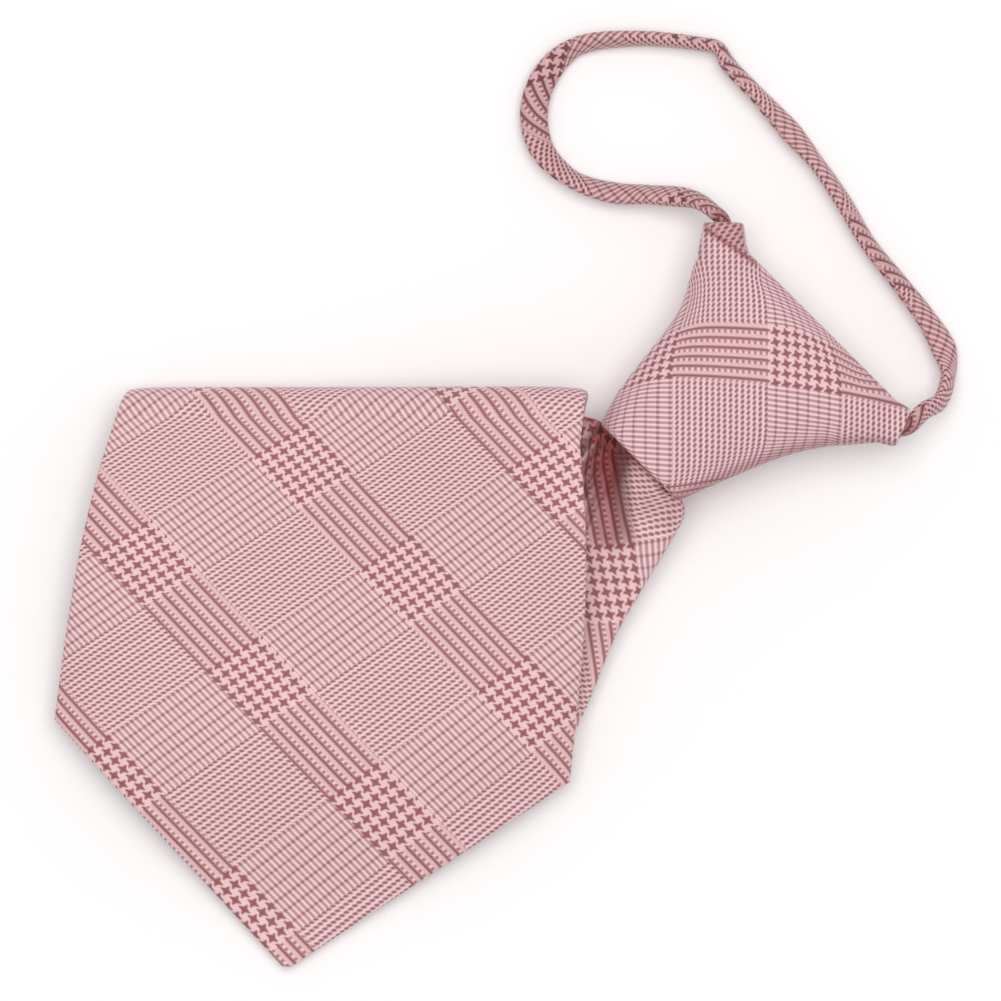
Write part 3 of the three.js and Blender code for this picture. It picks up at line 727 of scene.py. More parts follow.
# %% Plaid weave group
CHECK_ALONG = 56.0
CHECK_ACROSS = 48.0
REPEAT = 8.0
FINE_REPEAT = 4.0
STAR_TURN = 0.3
STAR_ARMS = 2.3
STAR_EDGE = (5.1, 2.1)
STAR_TONES = (1.02, 0.1)
LINE_START = (2.6, 1.2)
LINE_END = (5.3, 1.4)
DOTS_END = (3.2, 0.9)
DOT_GAP_EDGE = (-0.05, 1.0)
DOT_GAP_TONE = 0.8
GREY_START = (5.6, 1.2)
GREY_TONE = 0.26
BOX_LINE_START = (0.8, 1.0)
BOX_LINE_END = (2.6, 1.0)
BAR_EDGE = (0.2, 0.95)
BAR_TONES = (0.66, -0.14)
CROSSED_BAR_TONES = (1.0, 0.4)
DASH_BREAKS = 0.4
DASH_SLANT = 0.55
DASH_EDGE = (0.05, 1.2)
TWILL_TONE = 0.1
YARN_UNEVENNESS = 0.1


def wave(n, number, period, start=0.0):
    """Runs softly from -1 to 1 and back once per period of threads, 1 at the start."""
    turn = n.math("MULTIPLY", n.math("SUBTRACT", number, start), 2 * math.pi / period)
    return n.math("COSINE", turn)


def in_repeat(n, number, ahead):
    """Which thread of its repeat a thread is."""
    return n.math("FLOORED_MODULO", n.math("ADD", number, ahead), REPEAT)


def step(n, value, edge):
    """Rises softly from 0 to 1 where a value passes an edge."""
    low, high = edge[0] - edge[1], edge[0] + edge[1]
    settings = {"interpolation_type": "SMOOTHSTEP"}
    return n.add("ShaderNodeMapRange", settings, Value=value, From_Min=low, From_Max=high).outputs[0]


def between(n, value, start, end):
    """1 between two edges and 0 outside."""
    return n.math("SUBTRACT", step(n, value, start), step(n, value, end))


def star_block(n, i, j):
    """Houndstooth: dark stars with four arms, turned a little like a pinwheel."""
    from_i, from_j = (n.math("SUBTRACT", in_repeat(n, number, 2.0), REPEAT / 2) for number in (i, j))
    turned_i = n.math("ABSOLUTE", n.math("MULTIPLY_ADD", from_j, STAR_TURN, from_i))
    turned_j = n.math("ABSOLUTE", n.math("MULTIPLY_ADD", from_i, -STAR_TURN, from_j))
    nearer = n.math("MINIMUM", turned_i, turned_j)
    further = n.math("MAXIMUM", turned_i, turned_j)
    reach = n.math("MULTIPLY_ADD", nearer, STAR_ARMS, further)
    return n.mix("FLOAT", step(n, reach, STAR_EDGE), *STAR_TONES)


def stripe_block(n, i, j):
    """Stripes: a dark line, a row of bright dots with dark gaps, and a smooth greyer band."""
    place = in_repeat(n, i, 1.0)
    line = between(n, place, LINE_START, LINE_END)
    dot_row = n.math("SUBTRACT", 1.0, step(n, place, DOTS_END))
    gaps = n.math("MULTIPLY", dot_row, step(n, wave(n, j, FINE_REPEAT, 0.5), DOT_GAP_EDGE))
    dark = n.math("MAXIMUM", line, n.math("MULTIPLY", gaps, DOT_GAP_TONE))
    return n.math("MAXIMUM", dark, n.math("MULTIPLY", step(n, place, GREY_START), GREY_TONE))


def box_block(n, i, j):
    """Boxes: bright bars along the stripes, grey between them, thin dark lines across."""
    line = between(n, in_repeat(n, j, 0.0), BOX_LINE_START, BOX_LINE_END)
    bars = step(n, wave(n, i, FINE_REPEAT, 2.6), BAR_EDGE)
    crossed = n.mix("FLOAT", bars, *CROSSED_BAR_TONES)
    return n.mix("FLOAT", line, n.mix("FLOAT", bars, *BAR_TONES), crossed)


def fine_block(n, i, j):
    """The small check: dark dashes in slanting rows."""
    rows = wave(n, j, FINE_REPEAT, 1.0)
    breaks = n.math("MULTIPLY_ADD", wave(n, i, FINE_REPEAT, 1.0), DASH_BREAKS, rows)
    slanting = wave(n, n.math("ADD", i, j), FINE_REPEAT, 2.0)
    return step(n, n.math("MULTIPLY_ADD", slanting, DASH_SLANT, breaks), DASH_EDGE)


def plaid_group():
    """How dark the weave is at each place, its colour and its height."""
    wanted = {"Threads": "Vector", "Light": "Color", "Stripe": "Color", "Crossing": "Color"}
    gives = {"Color": "Color", "Height": "Float"}
    n, given, out = new_tree("plaid_weave", "ShaderNodeTree", wanted, gives)
    parts = n.add("ShaderNodeSeparateXYZ", Vector=given["Threads"]).outputs
    j, i = parts["X"], parts["Y"]
    in_stripe = n.math("LESS_THAN", n.math("FLOORED_MODULO", i, THREADS_ACROSS), CHECK_ACROSS)
    in_crossing = n.math("LESS_THAN", n.math("FLOORED_MODULO", j, THREADS_ALONG), CHECK_ALONG)
    striped = n.mix("FLOAT", in_crossing, stripe_block(n, i, j), star_block(n, i, j))
    plain = n.mix("FLOAT", in_crossing, fine_block(n, i, j), box_block(n, i, j))
    twill = wave(n, n.math("ADD", i, j), 2.0)
    dark = n.math("MULTIPLY_ADD", twill, TWILL_TONE, n.mix("FLOAT", in_stripe, plain, striped))
    dye = n.mix("RGBA", in_stripe, given["Crossing"], given["Stripe"])
    number = n.math("FLOOR", n.mix("FLOAT", in_stripe, j, i))
    spool = n.add("ShaderNodeCombineXYZ", X=number, Y=in_stripe)
    chance = n.add("ShaderNodeTexWhiteNoise", {"noise_dimensions": "2D"}, Vector=spool.outputs[0])
    spread = n.math("SUBTRACT", chance.outputs["Value"], 0.5)
    uneven = n.math("MULTIPLY", spread, YARN_UNEVENNESS)
    n.feed(out["Color"], n.mix("RGBA", n.math("ADD", dark, uneven), given["Light"], dye))
    n.feed(out["Height"], n.math("SUBTRACT", 1.0, dark))
    return n.tree


PLAID = plaid_group()
print("nodes in the weave group:", len(PLAID.nodes))

# %% [markdown]
# The cloth itself is matte with a faint sheen, as woven polyester or silk has. Its weave stands up a
# little. In the creases and other places where shadow falls, its colour is darkened as painted shade,
# by a number that the meshes store for each point.

# %% Cloth material
THREAD_RELIEF = 0.06
RELIEF_STRENGTH = 0.6
# The colour that painted shade darkens the weave towards.
DEEP_SHADE = rgb(186, 122, 122)
MOTTLE_SCALE = 160.0
SMOOTHEST = 0.54
ROUGHEST = 0.7
SHEEN = 0.25
SHEEN_ROUGHNESS = 0.4
GLOSS = 0.35


def cloth_material(name, light, stripe, crossing):
    """Plaid cloth whose threads follow the piece's own UV map."""
    material = bpy.data.materials.new(name)
    material.use_nodes = True
    tree = material.node_tree
    tree.nodes.clear()
    n = Nodes(tree)
    uv = n.add("ShaderNodeUVMap", {"uv_map": "threads"})
    weave = n.add(
        "ShaderNodeGroup",
        {"node_tree": PLAID},
        Threads=uv.outputs["UV"],
        Light=light,
        Stripe=stripe,
        Crossing=crossing,
    )
    # Painted shade: the stored number darkens the weave's colour towards DEEP_SHADE.
    depth = n.add("ShaderNodeAttribute", {"attribute_name": "shade"})
    shaded = n.mix("RGBA", depth.outputs["Fac"], weave.outputs["Color"], DEEP_SHADE, "MULTIPLY")
    bump = n.add(
        "ShaderNodeBump",
        Height=weave.outputs["Height"],
        Distance=THREAD_RELIEF * MM,
        Strength=RELIEF_STRENGTH,
    )
    place = n.add("ShaderNodeTexCoord").outputs["Object"]
    mottle = n.add("ShaderNodeTexNoise", Vector=place, Scale=MOTTLE_SCALE, Detail=3.0).outputs["Fac"]
    rough = n.add("ShaderNodeMapRange", Value=mottle, To_Min=SMOOTHEST, To_Max=ROUGHEST)
    shader = n.add(
        "ShaderNodeBsdfPrincipled",
        Base_Color=shaded,
        Roughness=rough.outputs[0],
        Normal=bump.outputs[0],
        Sheen_Weight=SHEEN,
        Sheen_Roughness=SHEEN_ROUGHNESS,
        Specular_IOR_Level=GLOSS,
    )
    n.add("ShaderNodeOutputMaterial", Surface=shader.outputs[0])
    return material


blade_cloth = cloth_material("blade_plaid", rgb(240, 203, 205), rgb(146, 84, 88), rgb(146, 98, 105))
blade.data.materials.append(blade_cloth)
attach(blade, "root")
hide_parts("blade")

# %% [markdown]
# ## The knot
# The knot is a hollow wrap: a body that narrows to the lower edge, and a funnel at each upper corner
# where the neck band goes in. Body and funnels are joined, the same shape one wall thinner is taken
# out, and a fine remesh then rounds the seams between them, as the padding of a real knot does.

# %% Knot shell
MOUTH_WIDTH = 7.0
MOUTH_DEPTH = 7.4
MOUTH_LENGTH = 11.0
SLIDER_WIDTH = 7.6
SLIDER_LENGTH = 9.5
SLIDER_HEIGHT = 4.6
ROUNDNESS = 2.6
OVERRUN = 6.0
LOOP_POINTS = 96
KNOT_LOOPS = 48
KNOT_GRAIN = 0.42
RIM_STEP = 0.001
# How far back from the rim, in shares of the mouth's length, and how much wider than there.
MOUTH_ROWS = ((1, 1.45), (0.45, 1.2), (0, 1))
LEFT_MOUTH = {"x": -0.505, "y": 0.03, "aim": 134}
RIGHT_MOUTH = {"x": 0.408, "y": -0.052, "aim": 23}


def on_table(x, y, z):
    """A place in the knot's upright frame as a place in the part's frame."""
    return np.append(from_knot(x, y), z) + SHIFT


def flat_round(x, y, across, width, depth):
    """A flattened round loop, wide along one heading of the knot's frame and deep along Z."""
    angle = np.linspace(0, 2 * np.pi, LOOP_POINTS, endpoint=False)
    reach = width / 2 * rounded(np.cos(angle), ROUNDNESS)
    rise = depth / 2 * rounded(np.sin(angle), ROUNDNESS)
    side = heading(across)
    places = from_knot(x + side[0] * reach, y + side[1] * reach)
    return np.column_stack([places, KNOT_MIDDLE + rise]) + SHIFT


def knot_body(wall):
    """The body of the knot, or the room inside it."""
    loops = []
    for at in np.linspace(KNOT_ROWS["at"][0], KNOT_ROWS["at"][-1], KNOT_LOOPS):
        left, right, deep = [float(read(KNOT_ROWS, column, at)) for column in ("left", "right", "deep")]
        down = at * KNOT_HEIGHT + (wall if not loops else 0)
        width = (right - left) * KNOT_WIDTH - 2 * wall
        middle = (left + right) / 2 * KNOT_WIDTH
        loops.append(flat_round(middle, -down, 0, width, deep * KNOT_DEPTH - 2 * wall))
    return outward(skin("knot_body", loops))


def in_mouth(mouth, back):
    """A place in the middle of a mouth, so far back from its rim, in the knot's upright frame."""
    out = heading(mouth["aim"])
    return mouth["x"] * KNOT_WIDTH - out[0] * back, mouth["y"] * KNOT_HEIGHT - out[1] * back


def funnel(mouth, wall):
    """A mouth's funnel from inside the knot to its rim. Its bore runs past the rim."""
    rows = [(share * MOUTH_LENGTH, flare) for share, flare in MOUTH_ROWS]
    rows.append((-OVERRUN if wall else -RIM_STEP, 1))
    loops = []
    for back, flare in rows:
        wide, deep = MOUTH_WIDTH * flare - 2 * wall, MOUTH_DEPTH * flare - 2 * wall
        loops.append(flat_round(*in_mouth(mouth, back), mouth["aim"] + 90, wide, deep))
    return outward(skin("funnel", loops))


def block(low, high):
    """A box between two corners in the knot's frame."""
    corners = [
        on_table((low, high)[a][0], (low, high)[b][1], (low, high)[c][2])
        for c in (0, 1) for b in (0, 1) for a in (0, 1)
    ]
    faces = [(0, 2, 3, 1), (4, 5, 7, 6), (0, 1, 5, 4), (2, 6, 7, 3), (0, 4, 6, 2), (1, 3, 7, 5)]
    return plain_mesh("block", corners, faces)


def evaluated(piece, name):
    """The mesh of an object with its modifiers carried out, and the object taken away."""
    graph = bpy.context.evaluated_depsgraph_get()
    graph.update()
    mesh = bpy.data.meshes.new_from_object(piece.evaluated_get(graph))
    mesh.name = name
    bpy.data.objects.remove(piece)
    return mesh


def combine(name, body, steps, *finish):
    """Joins meshes to a body or cuts them out, then runs the finishing modifiers."""
    piece = add_object(name, body)
    tools = []
    for operation, mesh in steps:
        tool = add_object("tool", mesh)
        tools.append(tool)
        modifier = piece.modifiers.new("cut", "BOOLEAN")
        modifier.solver = "EXACT"
        modifier.operation = operation
        modifier.object = tool
    for kind, settings in finish:
        modifier = piece.modifiers.new(kind.lower(), kind)
        for key, value in settings.items():
            setattr(modifier, key, value)
    mesh = evaluated(piece, name)
    for tool in tools:
        bpy.data.objects.remove(tool)
    return mesh


def knot_shell():
    """The hollow wrap, finely remeshed and eased."""
    far = KNOT_WIDTH + KNOT_HEIGHT
    slider_low = -KNOT_HEIGHT + ZIP_BEHIND_KNOT - SLIDER_LENGTH
    room = SLIDER_WIDTH / 2 + 2 * CLEARANCE
    below = block((-far, -far, -far), (far, -KNOT_HEIGHT, far))
    slot = block(
        (EXIT_CENTRE - room, slider_low - 2 * CLEARANCE, -OVERRUN),
        (EXIT_CENTRE + room, slider_low + SLIDER_LENGTH + 2 * CLEARANCE, SLIDER_HEIGHT + 2 * CLEARANCE),
    )
    joins = [("UNION", funnel(mouth, 0)) for mouth in (LEFT_MOUTH, RIGHT_MOUTH)]
    bores = [("UNION", funnel(mouth, KNOT_WALL)) for mouth in (LEFT_MOUTH, RIGHT_MOUTH)]
    hollow = combine("hollow", knot_body(KNOT_WALL), bores)
    cuts = [("DIFFERENCE", hollow), ("DIFFERENCE", below), ("DIFFERENCE", slot)]
    remesh = ("REMESH", {"mode": "VOXEL", "voxel_size": KNOT_GRAIN * MM, "use_smooth_shade": True})
    ease = ("SMOOTH", {"factor": 0.5, "iterations": 5})
    return combine("tie_knot", knot_body(0), joins + cuts, remesh, ease)


knot_mesh = knot_shell()
print("knot faces:", len(knot_mesh.polygons))

# %% [markdown]
# The photo shows where the wrap's plaid lies: its stripes run level across the knot and sag a little
# towards the right mouth. The threads are counted on the face seen from above, and go on round the
# sides by the drop, so that no stripe is drawn out where the cloth turns down. At the left mouth a flap
# is folded over: its threads run slantwise, and it stands up a little. Its colour is darkened as painted
# shade, most of all along its edge, and the knot's lower roll is painted darker too.

# %% Threads of the knot
STRIPE_PLACE = (29.2, 25.2)
STRIPE_SAG = 0.0029
STRIPE_PITCH = 0.2
STRIPE_SPREAD = 0.0008
STRIPE_GROWTH = 0.00083
SIDE_SLOPE = (0.15, 0.9)
DROP_SHARE = 0.7
# Painted shade on the knot's lower roll, where its sides slope steeply and face down the table.
ROLL_SHADE = 0.5
ROLL_SLOPE = (0.6, 0.95)
ROLL_FACING = (0.3, 0.8)
FLAP_LEAN = 123.0
FLAP_BACK = 3.4
FLAP_REACH = 6.5
FLAP_EASE = 0.4
FLAP_HEIGHT = 0.6
# Painted shade on the folded flap, and darker still along its edge.
FLAP_SHADE = 0.45
FLAP_RIM_SHADE = 0.9
CROSSING_ROWS = table(
    ("at", "number"), (16, 171), (29.2, 120), (45.4, 56), (58.1, 0), (71, -55),
)


def mouth_place(mouth, back):
    """A place in a mouth, so far back from its rim, in the part's frame."""
    return on_table(*in_mouth(mouth, back), KNOT_MIDDLE)


def mesh_arrays(mesh):
    """Points and normals of a mesh, in millimetres and as directions."""
    found = []
    for items, name in ((mesh.vertices, "co"), (mesh.vertex_normals, "vector")):
        numbers = np.empty(len(items) * 3, np.float32)
        items.foreach_get(name, numbers)
        found.append(numbers.reshape(-1, 3).astype(float))
    return found[0] / MM, found[1]


def over_flap(points, normals):
    """The flap folded over at the left mouth: offsets from its edge, its share, and that of its rim."""
    along = heading(LEFT_MOUTH["aim"] + KNOT_TURN - FLAP_LEAN)
    offset = points[:, :2] - mouth_place(LEFT_MOUTH, FLAP_BACK)[:2]
    beyond = offset @ left_of(along)
    near = 1 - smooth(np.abs(offset @ along), FLAP_REACH, FLAP_REACH + 1)
    near = near * smooth(normals[:, 2], 0.2, 0.6)
    rim = np.exp(-((beyond / FLAP_EASE) ** 2)) * near
    return offset, smooth(beyond, 0, FLAP_EASE) * near, rim


def wrap_threads(points, normals):
    """Thread numbers on the knot, from places on the table and the drop from its top face."""
    top = KNOT_MIDDLE + KNOT_DEPTH / 2
    slope = np.linalg.norm(normals[:, :2], axis=1)
    outward_way = normals[:, :2] / np.maximum(slope, 1e-6)[:, None]
    drop = np.clip(top - points[:, 2], 0, KNOT_DEPTH) * smooth(slope, *SIDE_SLOPE)
    for mouth in (LEFT_MOUTH, RIGHT_MOUTH):
        away = np.linalg.norm(points[:, :2] - mouth_place(mouth, 0)[:2], axis=1)
        drop *= smooth(away, MOUTH_WIDTH, 2 * MOUTH_WIDTH)
    place = points[:, :2] - SHIFT[:2] + outward_way * drop[:, None] * DROP_SHARE
    offset, flap, _ = over_flap(points, normals)
    turn = heading(FLAP_LEAN - LEFT_MOUTH["aim"] - KNOT_TURN)
    turned = offset @ np.array([turn, left_of(turn)])
    place = np.where(flap[:, None] > 0.5, place - offset + turned, place)
    x = place[:, 0] - STRIPE_PLACE[0]
    middle = STRIPE_PLACE[1] - STRIPE_SAG * np.maximum(x, 0) ** 2
    above = place[:, 1] - middle
    i = BLOCK_MIDDLE[1] + above / (STRIPE_PITCH + STRIPE_SPREAD * x + STRIPE_GROWTH * np.abs(above))
    j = np.interp(place[:, 0], CROSSING_ROWS["at"], CROSSING_ROWS["number"])
    return np.stack([j, i], axis=-1)


def add_knot():
    """The wrap of the knot."""
    points, normals = mesh_arrays(knot_mesh)
    corners = np.empty(len(knot_mesh.loops), np.int32)
    knot_mesh.loops.foreach_get("vertex_index", corners)
    set_threads(knot_mesh, wrap_threads(points, normals)[corners])
    slope = np.linalg.norm(normals[:, :2], axis=1)
    # Painted shade: the lower roll, which slopes steeply and faces down the table, is darkened.
    roll = ROLL_SHADE * smooth(slope, *ROLL_SLOPE) * smooth(-normals[:, 1], *ROLL_FACING)
    # Painted shade on the folded flap, darkest along its edge.
    _, flap, rim = over_flap(points, normals)
    set_shade(knot_mesh, np.maximum(roll, np.maximum(FLAP_SHADE * flap, FLAP_RIM_SHADE * rim)))
    points[:, 2] += FLAP_HEIGHT * flap
    knot_mesh.vertices.foreach_set("co", (points * MM).ravel())
    knot_mesh.update()
    knot_mesh.materials.clear()
    # The wrap's colours are a slightly darker copy of the blade's cloth: painted shade.
    knot_mesh.materials.append(
        cloth_material("wrap_plaid", rgb(236, 199, 203), rgb(142, 80, 88), rgb(142, 92, 101))
    )
    piece = add_object("tie_knot", knot_mesh)
    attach(piece, "root")
    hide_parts("knot")


add_knot()

# %% [markdown]
# ## The neck band
# The band is a flat cloth tube that twists as it lies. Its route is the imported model's, point by
# point, in shares of the way between the two mouths, so the loop keeps its shape if the knot grows.
# The band is cut on the bias, which is why its rows of threads run round it like a rope's.

# %% Band
BAND_WIDTH = 4.8
BAND_THICKNESS = 2.4
LOOP_REACH = 22.0
BAND_TUCK = 7.0
BAND_NARROWING = 0.68
BAND_NARROW_SPAN = (0.03, 0.12)
BAND_ROUNDNESS = 2.4
BAND_STEPS = 520
BAND_SIDES = 28
FINE_STEPS = 12000
BAND_PITCH = 0.235
BAND_PHASE = (-42.0, -15.0)
# Painted shade where the band goes into the mouths: how dark, and over what length outside them.
MOUTH_SHADE = 0.7
MOUTH_SHADE_REACH = 3.5
BAND_ROWS = table(
    ("along", "out", "turn", "high"),
    (-0.057, -0.002, 70, 0.85), (-0.118, -0.033, 62, 0.6), (-0.175, -0.113, 50, 0.35),
    (-0.258, -0.279, 60, 0.1), (-0.353, -0.485, 50, 0), (-0.486, -0.65, 64, 0),
    (-0.637, -0.68, 37, 0), (-0.758, -0.549, 4, 0), (-0.836, -0.301, 20, 0),
    (-0.847, 0.039, 62, 0), (-0.732, 0.424, 78, 0), (-0.559, 0.785, 90, 0),
    (-0.495, 0.882, 90, 0), (-0.432, 0.858, 108, 0), (-0.271, 0.87, 110, 0),
    (-0.091, 0.877, 134, 0), (0.064, 0.869, 105, 0), (0.231, 0.827, 112, 0),
    (0.407, 0.758, 108, 0), (0.589, 0.74, 114, 0), (0.759, 0.715, 126, 0),
    (0.883, 0.661, 150, 0.02), (0.967, 0.547, 100, 0.15), (1.017, 0.361, 112, 0.5),
    (1.004, 0.211, 125, 0.85),
)


def band_route():
    """The band's points and twists from one mouth round to the other."""
    start = mouth_place(LEFT_MOUTH, 0)
    end = mouth_place(RIGHT_MOUTH, 0)
    span = (end - start)[:2]
    reach = left_of(span) / np.linalg.norm(span) * LOOP_REACH
    sideways = np.multiply.outer(BAND_ROWS["along"], span)
    xy = start[:2] + sideways + np.multiply.outer(BAND_ROWS["out"], reach)
    z = mix(BAND_WIDTH / 2, KNOT_MIDDLE, BAND_ROWS["high"])
    route = np.column_stack([xy, z])
    turns = BAND_ROWS["turn"]
    tucked = [mouth_place(mouth, BAND_TUCK) for mouth in (LEFT_MOUTH, RIGHT_MOUTH)]
    points = np.vstack([tucked[0], start, route, end, tucked[1]])
    return points, np.concatenate([[turns[0]] * 2, turns, [turns[-1]] * 2])


def centripetal(points, t):
    """A smooth curve through points, at t from 0 to 1 with an equal share for each stretch."""
    count = len(points) - 1
    padded = np.vstack([2 * points[0] - points[1], points, 2 * points[-1] - points[-2]])
    i = np.minimum((t * count).astype(int), count - 1)
    w = (t * count - i)[:, None]
    p0, p1, p2, p3 = (padded[i + k] for k in range(4))
    pairs = ((p0, p1), (p1, p2), (p2, p3))
    d0, d1, d2 = (np.linalg.norm(b - a, axis=1)[:, None] ** 0.5 for a, b in pairs)
    m1 = ((p1 - p0) / d0 - (p2 - p0) / (d0 + d1) + (p2 - p1) / d1) * d1
    m2 = ((p2 - p1) / d1 - (p3 - p1) / (d1 + d2) + (p3 - p2) / d2) * d1
    a = 2 * p1 - 2 * p2 + m1 + m2
    b = -3 * p1 + 3 * p2 - 2 * m1 - m2
    return a * w**3 + b * w**2 + m1 * w + p1


def even_steps(points, turns):
    """Points and twists at equal steps of length along the route."""
    fine = np.linspace(0, 1, FINE_STEPS)
    length = lengths_along(centripetal(points, fine))
    t = np.interp(np.linspace(0, length[-1], BAND_STEPS + 1), length, fine)
    twist = np.interp(t * (len(points) - 1), np.arange(len(points)), turns)
    return centripetal(points, t), np.radians(twist), length[-1]


def add_band():
    """The neck band, twisted along its route."""
    centres, twist, length = even_steps(*band_route())
    forward = np.gradient(centres, axis=0)
    forward /= np.linalg.norm(forward, axis=1)[:, None]
    side = np.cross([0, 0, 1], forward)
    side /= np.linalg.norm(side, axis=1)[:, None]
    up = np.cross(forward, side)
    share = np.linspace(0, 1, BAND_STEPS + 1)
    full = mix(BAND_NARROWING, 1, smooth(np.minimum(share, 1 - share), *BAND_NARROW_SPAN))
    angle = np.linspace(0, 2 * np.pi, BAND_SIDES + 1)
    wide = rounded(np.cos(angle), BAND_ROUNDNESS) * BAND_WIDTH / 2
    deep = rounded(np.sin(angle), BAND_ROUNDNESS) * BAND_THICKNESS / 2
    a = full[:, None] * wide[None]
    b = np.ones_like(a) * deep[None]
    c, s = np.cos(twist)[:, None], np.sin(twist)[:, None]
    aside = (a * c - b * s)[..., None] * side[:, None]
    above = (a * s + b * c)[..., None] * up[:, None]
    loops = centres[:, None] + aside + above
    around = lengths_along(np.column_stack([wide, deep]))
    along = share * length
    diagonal = math.sqrt(0.5) / BAND_PITCH
    j = (along[:, None] - around[None]) * diagonal + BAND_PHASE[0]
    i = (along[:, None] + around[None]) * diagonal + BAND_PHASE[1]
    mesh = skin("tie_neck_band", loops[:, :-1])
    skin_threads(mesh, np.stack([j, i], axis=-1))
    # Painted shade: the band's colour darkens close to and inside the mouths.
    inside = 1 - smooth(np.minimum(along, length - along) - BAND_TUCK, 0, MOUTH_SHADE_REACH)
    set_shade(mesh, np.append(np.repeat(MOUTH_SHADE * inside, BAND_SIDES), [MOUTH_SHADE, MOUTH_SHADE]))
    outward(mesh)
    # The band's colours are a darker copy of the blade's cloth: painted shade.
    mesh.materials.append(
        cloth_material("band_plaid", rgb(222, 179, 181), rgb(110, 54, 60), rgb(116, 64, 72))
    )
    piece = add_object("tie_neck_band", mesh)
    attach(piece, "root")
    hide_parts("neck_band")
    return length


print("band length in mm, mouth to mouth and inside:", round(add_band(), 1))

# %% [markdown]
# ## The zip
# The knot and the gathers hide the zip, but it is there: a woven tape, two rows of interlocked teeth
# and a slider. The teeth repeat, so a small node tree sets them out along the tape. A fine remesh
# then fuses all of it into one body.

# %% Zip teeth
TAPE_WIDTH = 15.0
TAPE_THICKNESS = 1.0
COIL_WIDTH = 4.2
TOOTH_PITCH = 1.2
TOOTH_WIDTH = 0.36
TOOTH_SHIFT = 0.55


def teeth_tree():
    """Two rows of teeth, the second half a pitch further on, joined to the tape that comes in."""
    wanted = {
        "Tape": "Geometry",
        "Teeth in a row": "Int",
        "Pitch": "Float",
        "First tooth": "Vector",
        "Tooth size": "Vector",
        "Shift": "Float",
        "Finish": "Material",
    }
    n, given, out = new_tree("zip_teeth", "GeometryNodeTree", wanted, {"Zip": "Geometry"})
    ball = n.add("GeometryNodeMeshUVSphere", Segments=12, Rings=8, Radius=1.0)
    tooth = n.add("GeometryNodeTransform", Geometry=ball.outputs["Mesh"], Scale=given["Tooth size"])
    offset = n.add("ShaderNodeCombineXYZ", Y=given["Pitch"]).outputs[0]
    joined = n.add("GeometryNodeJoinGeometry")
    n.feed(joined.inputs[0], given["Tape"])
    for side, ahead in ((-1.0, 0.0), (1.0, 0.5)):
        x = n.math("MULTIPLY", given["Shift"], side)
        y = n.math("MULTIPLY", given["Pitch"], ahead)
        aside = n.add("ShaderNodeCombineXYZ", X=x, Y=y).outputs[0]
        first = n.add("ShaderNodeVectorMath", {"operation": "ADD"})
        n.feed(first.inputs[0], given["First tooth"])
        n.feed(first.inputs[1], aside)
        row = n.add(
            "GeometryNodeMeshLine",
            Count=given["Teeth in a row"],
            Start_Location=first.outputs[0],
            Offset=offset,
        )
        teeth = n.add(
            "GeometryNodeInstanceOnPoints",
            Points=row.outputs["Mesh"],
            Instance=tooth.outputs["Geometry"],
        )
        n.feed(joined.inputs[0], teeth.outputs["Instances"])
    real = n.add("GeometryNodeRealizeInstances", Geometry=joined.outputs[0])
    finished = n.add("GeometryNodeSetMaterial", Geometry=real.outputs[0], Material=given["Finish"])
    n.feed(out["Zip"], finished.outputs[0])
    return n.tree


TEETH = teeth_tree()
print("sockets of the teeth tree:", [item.name for item in TEETH.interface.items_tree])

# %% [markdown]
# The tape and the slider are plain slabs in the zip's own upright frame. Fused with the teeth, they
# are turned and put in place behind the knot.

# %% Zip
ZIP_GRAIN = 0.2
SLIDER_WAIST = 0.7
SLIDER_OVER_COIL = 0.6
BRIDGE_WIDTHS = (0.4, 0.6)
ZIP_MAUVE = (0.48, 0.28, 0.3, 1)
ZIP_ROUGHNESS = 0.55
ZIP_HIGH = -KNOT_HEIGHT + ZIP_BEHIND_KNOT
ZIP_LOW = -KNOT_HEIGHT - ZIP_BELOW_KNOT


def slabs(*sizes):
    """Boxes in one mesh, each given by its widths at the low and high end, its ends and its heights."""
    points = []
    faces = []
    for narrow, wide, low, high, bottom, top in sizes:
        first = len(points)
        for width, along in ((narrow, low), (wide, high)):
            for z in (bottom, top):
                points.extend([(EXIT_CENTRE - width / 2, along, z), (EXIT_CENTRE + width / 2, along, z)])
        box = ((0, 1, 3, 2), (4, 6, 7, 5), (0, 4, 5, 1), (2, 3, 7, 6), (0, 2, 6, 4), (1, 5, 7, 3))
        faces.extend([tuple(first + k for k in face) for face in box])
    return outward(plain_mesh("zip_slabs", points, faces))


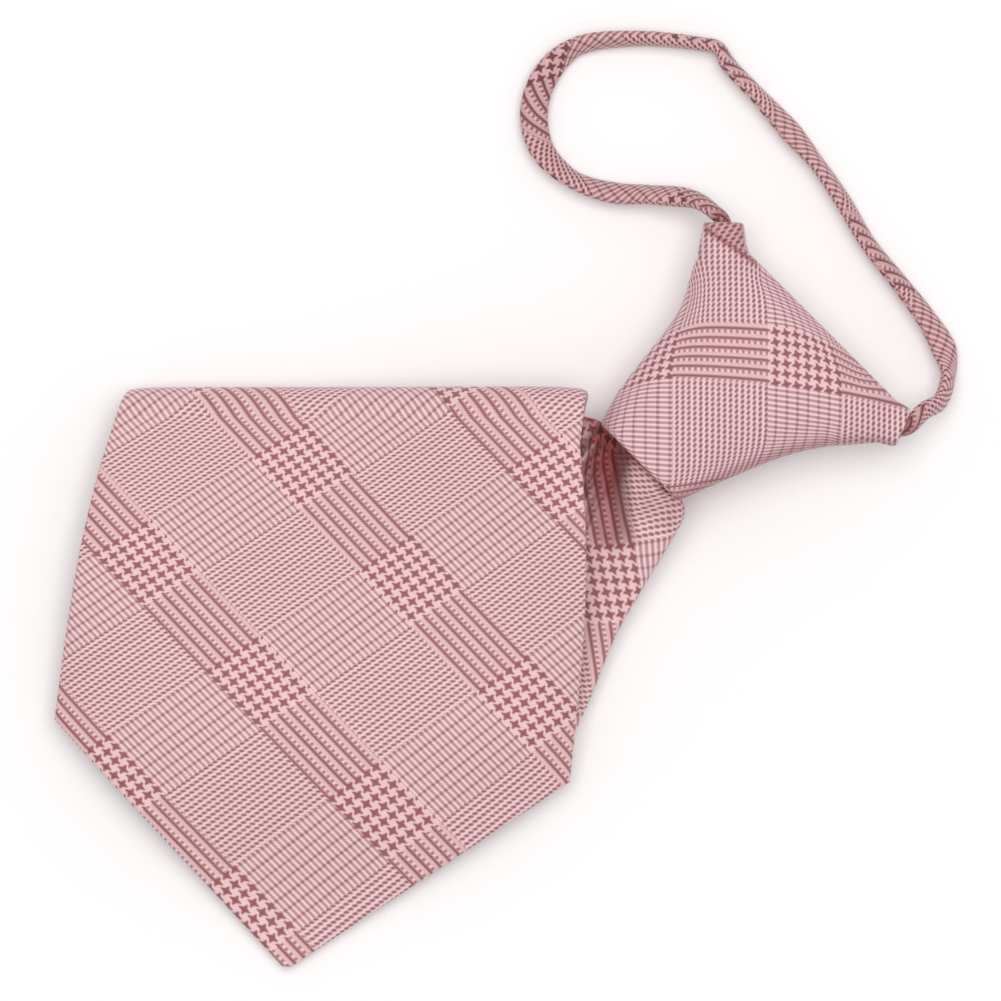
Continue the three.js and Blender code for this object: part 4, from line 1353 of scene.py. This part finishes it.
def add_zip():
    """The zip behind the knot, with its slider at the top."""
    slider_low = ZIP_HIGH - SLIDER_LENGTH
    waist = SLIDER_WIDTH * SLIDER_WAIST
    low_bridge, high_bridge = (waist * share for share in BRIDGE_WIDTHS)
    body = slabs(
        (TAPE_WIDTH, TAPE_WIDTH, ZIP_LOW, ZIP_HIGH, 0, TAPE_THICKNESS),
        (waist, SLIDER_WIDTH, slider_low, ZIP_HIGH, 0, COIL_HEIGHT + SLIDER_OVER_COIL),
        (low_bridge, high_bridge, slider_low, ZIP_HIGH, COIL_HEIGHT, SLIDER_HEIGHT),
    )
    piece = add_object("tie_zipper", body)
    first = ZIP_LOW + COIL_WIDTH
    tooth = (COIL_WIDTH / 2 - TOOTH_SHIFT, TOOTH_WIDTH, COIL_HEIGHT - TAPE_THICKNESS)
    material = plain_material("zip_mauve", ZIP_MAUVE, ZIP_ROUGHNESS)
    values = {
        "Teeth in a row": int((slider_low - first) / TOOTH_PITCH),
        "Pitch": TOOTH_PITCH * MM,
        "First tooth": (EXIT_CENTRE * MM, first * MM, TAPE_THICKNESS * MM),
        "Tooth size": tuple(size * MM for size in tooth),
        "Shift": TOOTH_SHIFT * MM,
        "Finish": material,
    }
    teeth = piece.modifiers.new("teeth", "NODES")
    teeth.node_group = TEETH
    for item in TEETH.interface.items_tree:
        if item.name in values:
            teeth[item.identifier] = values[item.name]
    fuse = piece.modifiers.new("fuse", "REMESH")
    fuse.mode = "VOXEL"
    fuse.voxel_size = ZIP_GRAIN * MM
    mesh = evaluated(piece, "tie_zipper")
    place = Vector(on_table(0, 0, 0) * MM)
    mesh.transform(Matrix.Translation(place) @ Matrix.Rotation(math.radians(KNOT_TURN), 4, "Z"))
    mesh.materials.clear()
    mesh.materials.append(material)
    piece = add_object("tie_zipper", mesh)
    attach(piece, "root")
    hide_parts("zipper")
    return mesh


print("zip faces:", len(add_zip().polygons))

# %% [markdown]
# ## Floor and light
# A white table under a wide soft light. Most of the light comes from all round, so the tie throws
# only a faint, wide shadow.

# %% Floor and light
FLOOR_REACH = 1500.0
FLOOR_ROUGHNESS = 0.9
WORLD_COLOUR = (1, 0.99, 0.985, 1)
WORLD_STRENGTH = 0.535
# In metres and watts.
WINDOW_PLACE = (0.05, 0.24, 1.8)
WINDOW_SIZE = 1.4
WINDOW_POWER = 21.5


def add_floor():
    """A plain pale table top."""
    corners = [(x * FLOOR_REACH, y * FLOOR_REACH, 0) for x, y in ((-1, -1), (1, -1), (1, 1), (-1, 1))]
    floor = add_object("table_top", plain_mesh("table_top", corners, [(0, 1, 2, 3)]))
    floor.data.materials.append(plain_material("table_white", rgb(250, 249, 249), FLOOR_ROUGHNESS))


def add_window():
    """A square soft light that looks down at the tie."""
    data = bpy.data.lights.new("window", "AREA")
    data.size = WINDOW_SIZE
    data.energy = WINDOW_POWER
    light = add_object("window", data)
    light.location = WINDOW_PLACE
    light.rotation_euler = (-Vector(WINDOW_PLACE)).to_track_quat("-Z", "Y").to_euler()


def add_world():
    """Even white light from all round."""
    world = bpy.data.worlds.new("studio")
    world.use_nodes = True
    background = world.node_tree.nodes["Background"]
    background.inputs["Color"].default_value = WORLD_COLOUR
    background.inputs["Strength"].default_value = WORLD_STRENGTH
    bpy.context.scene.world = world


add_floor()
add_world()
add_window()
bpy.context.scene.view_settings.view_transform = "Standard"
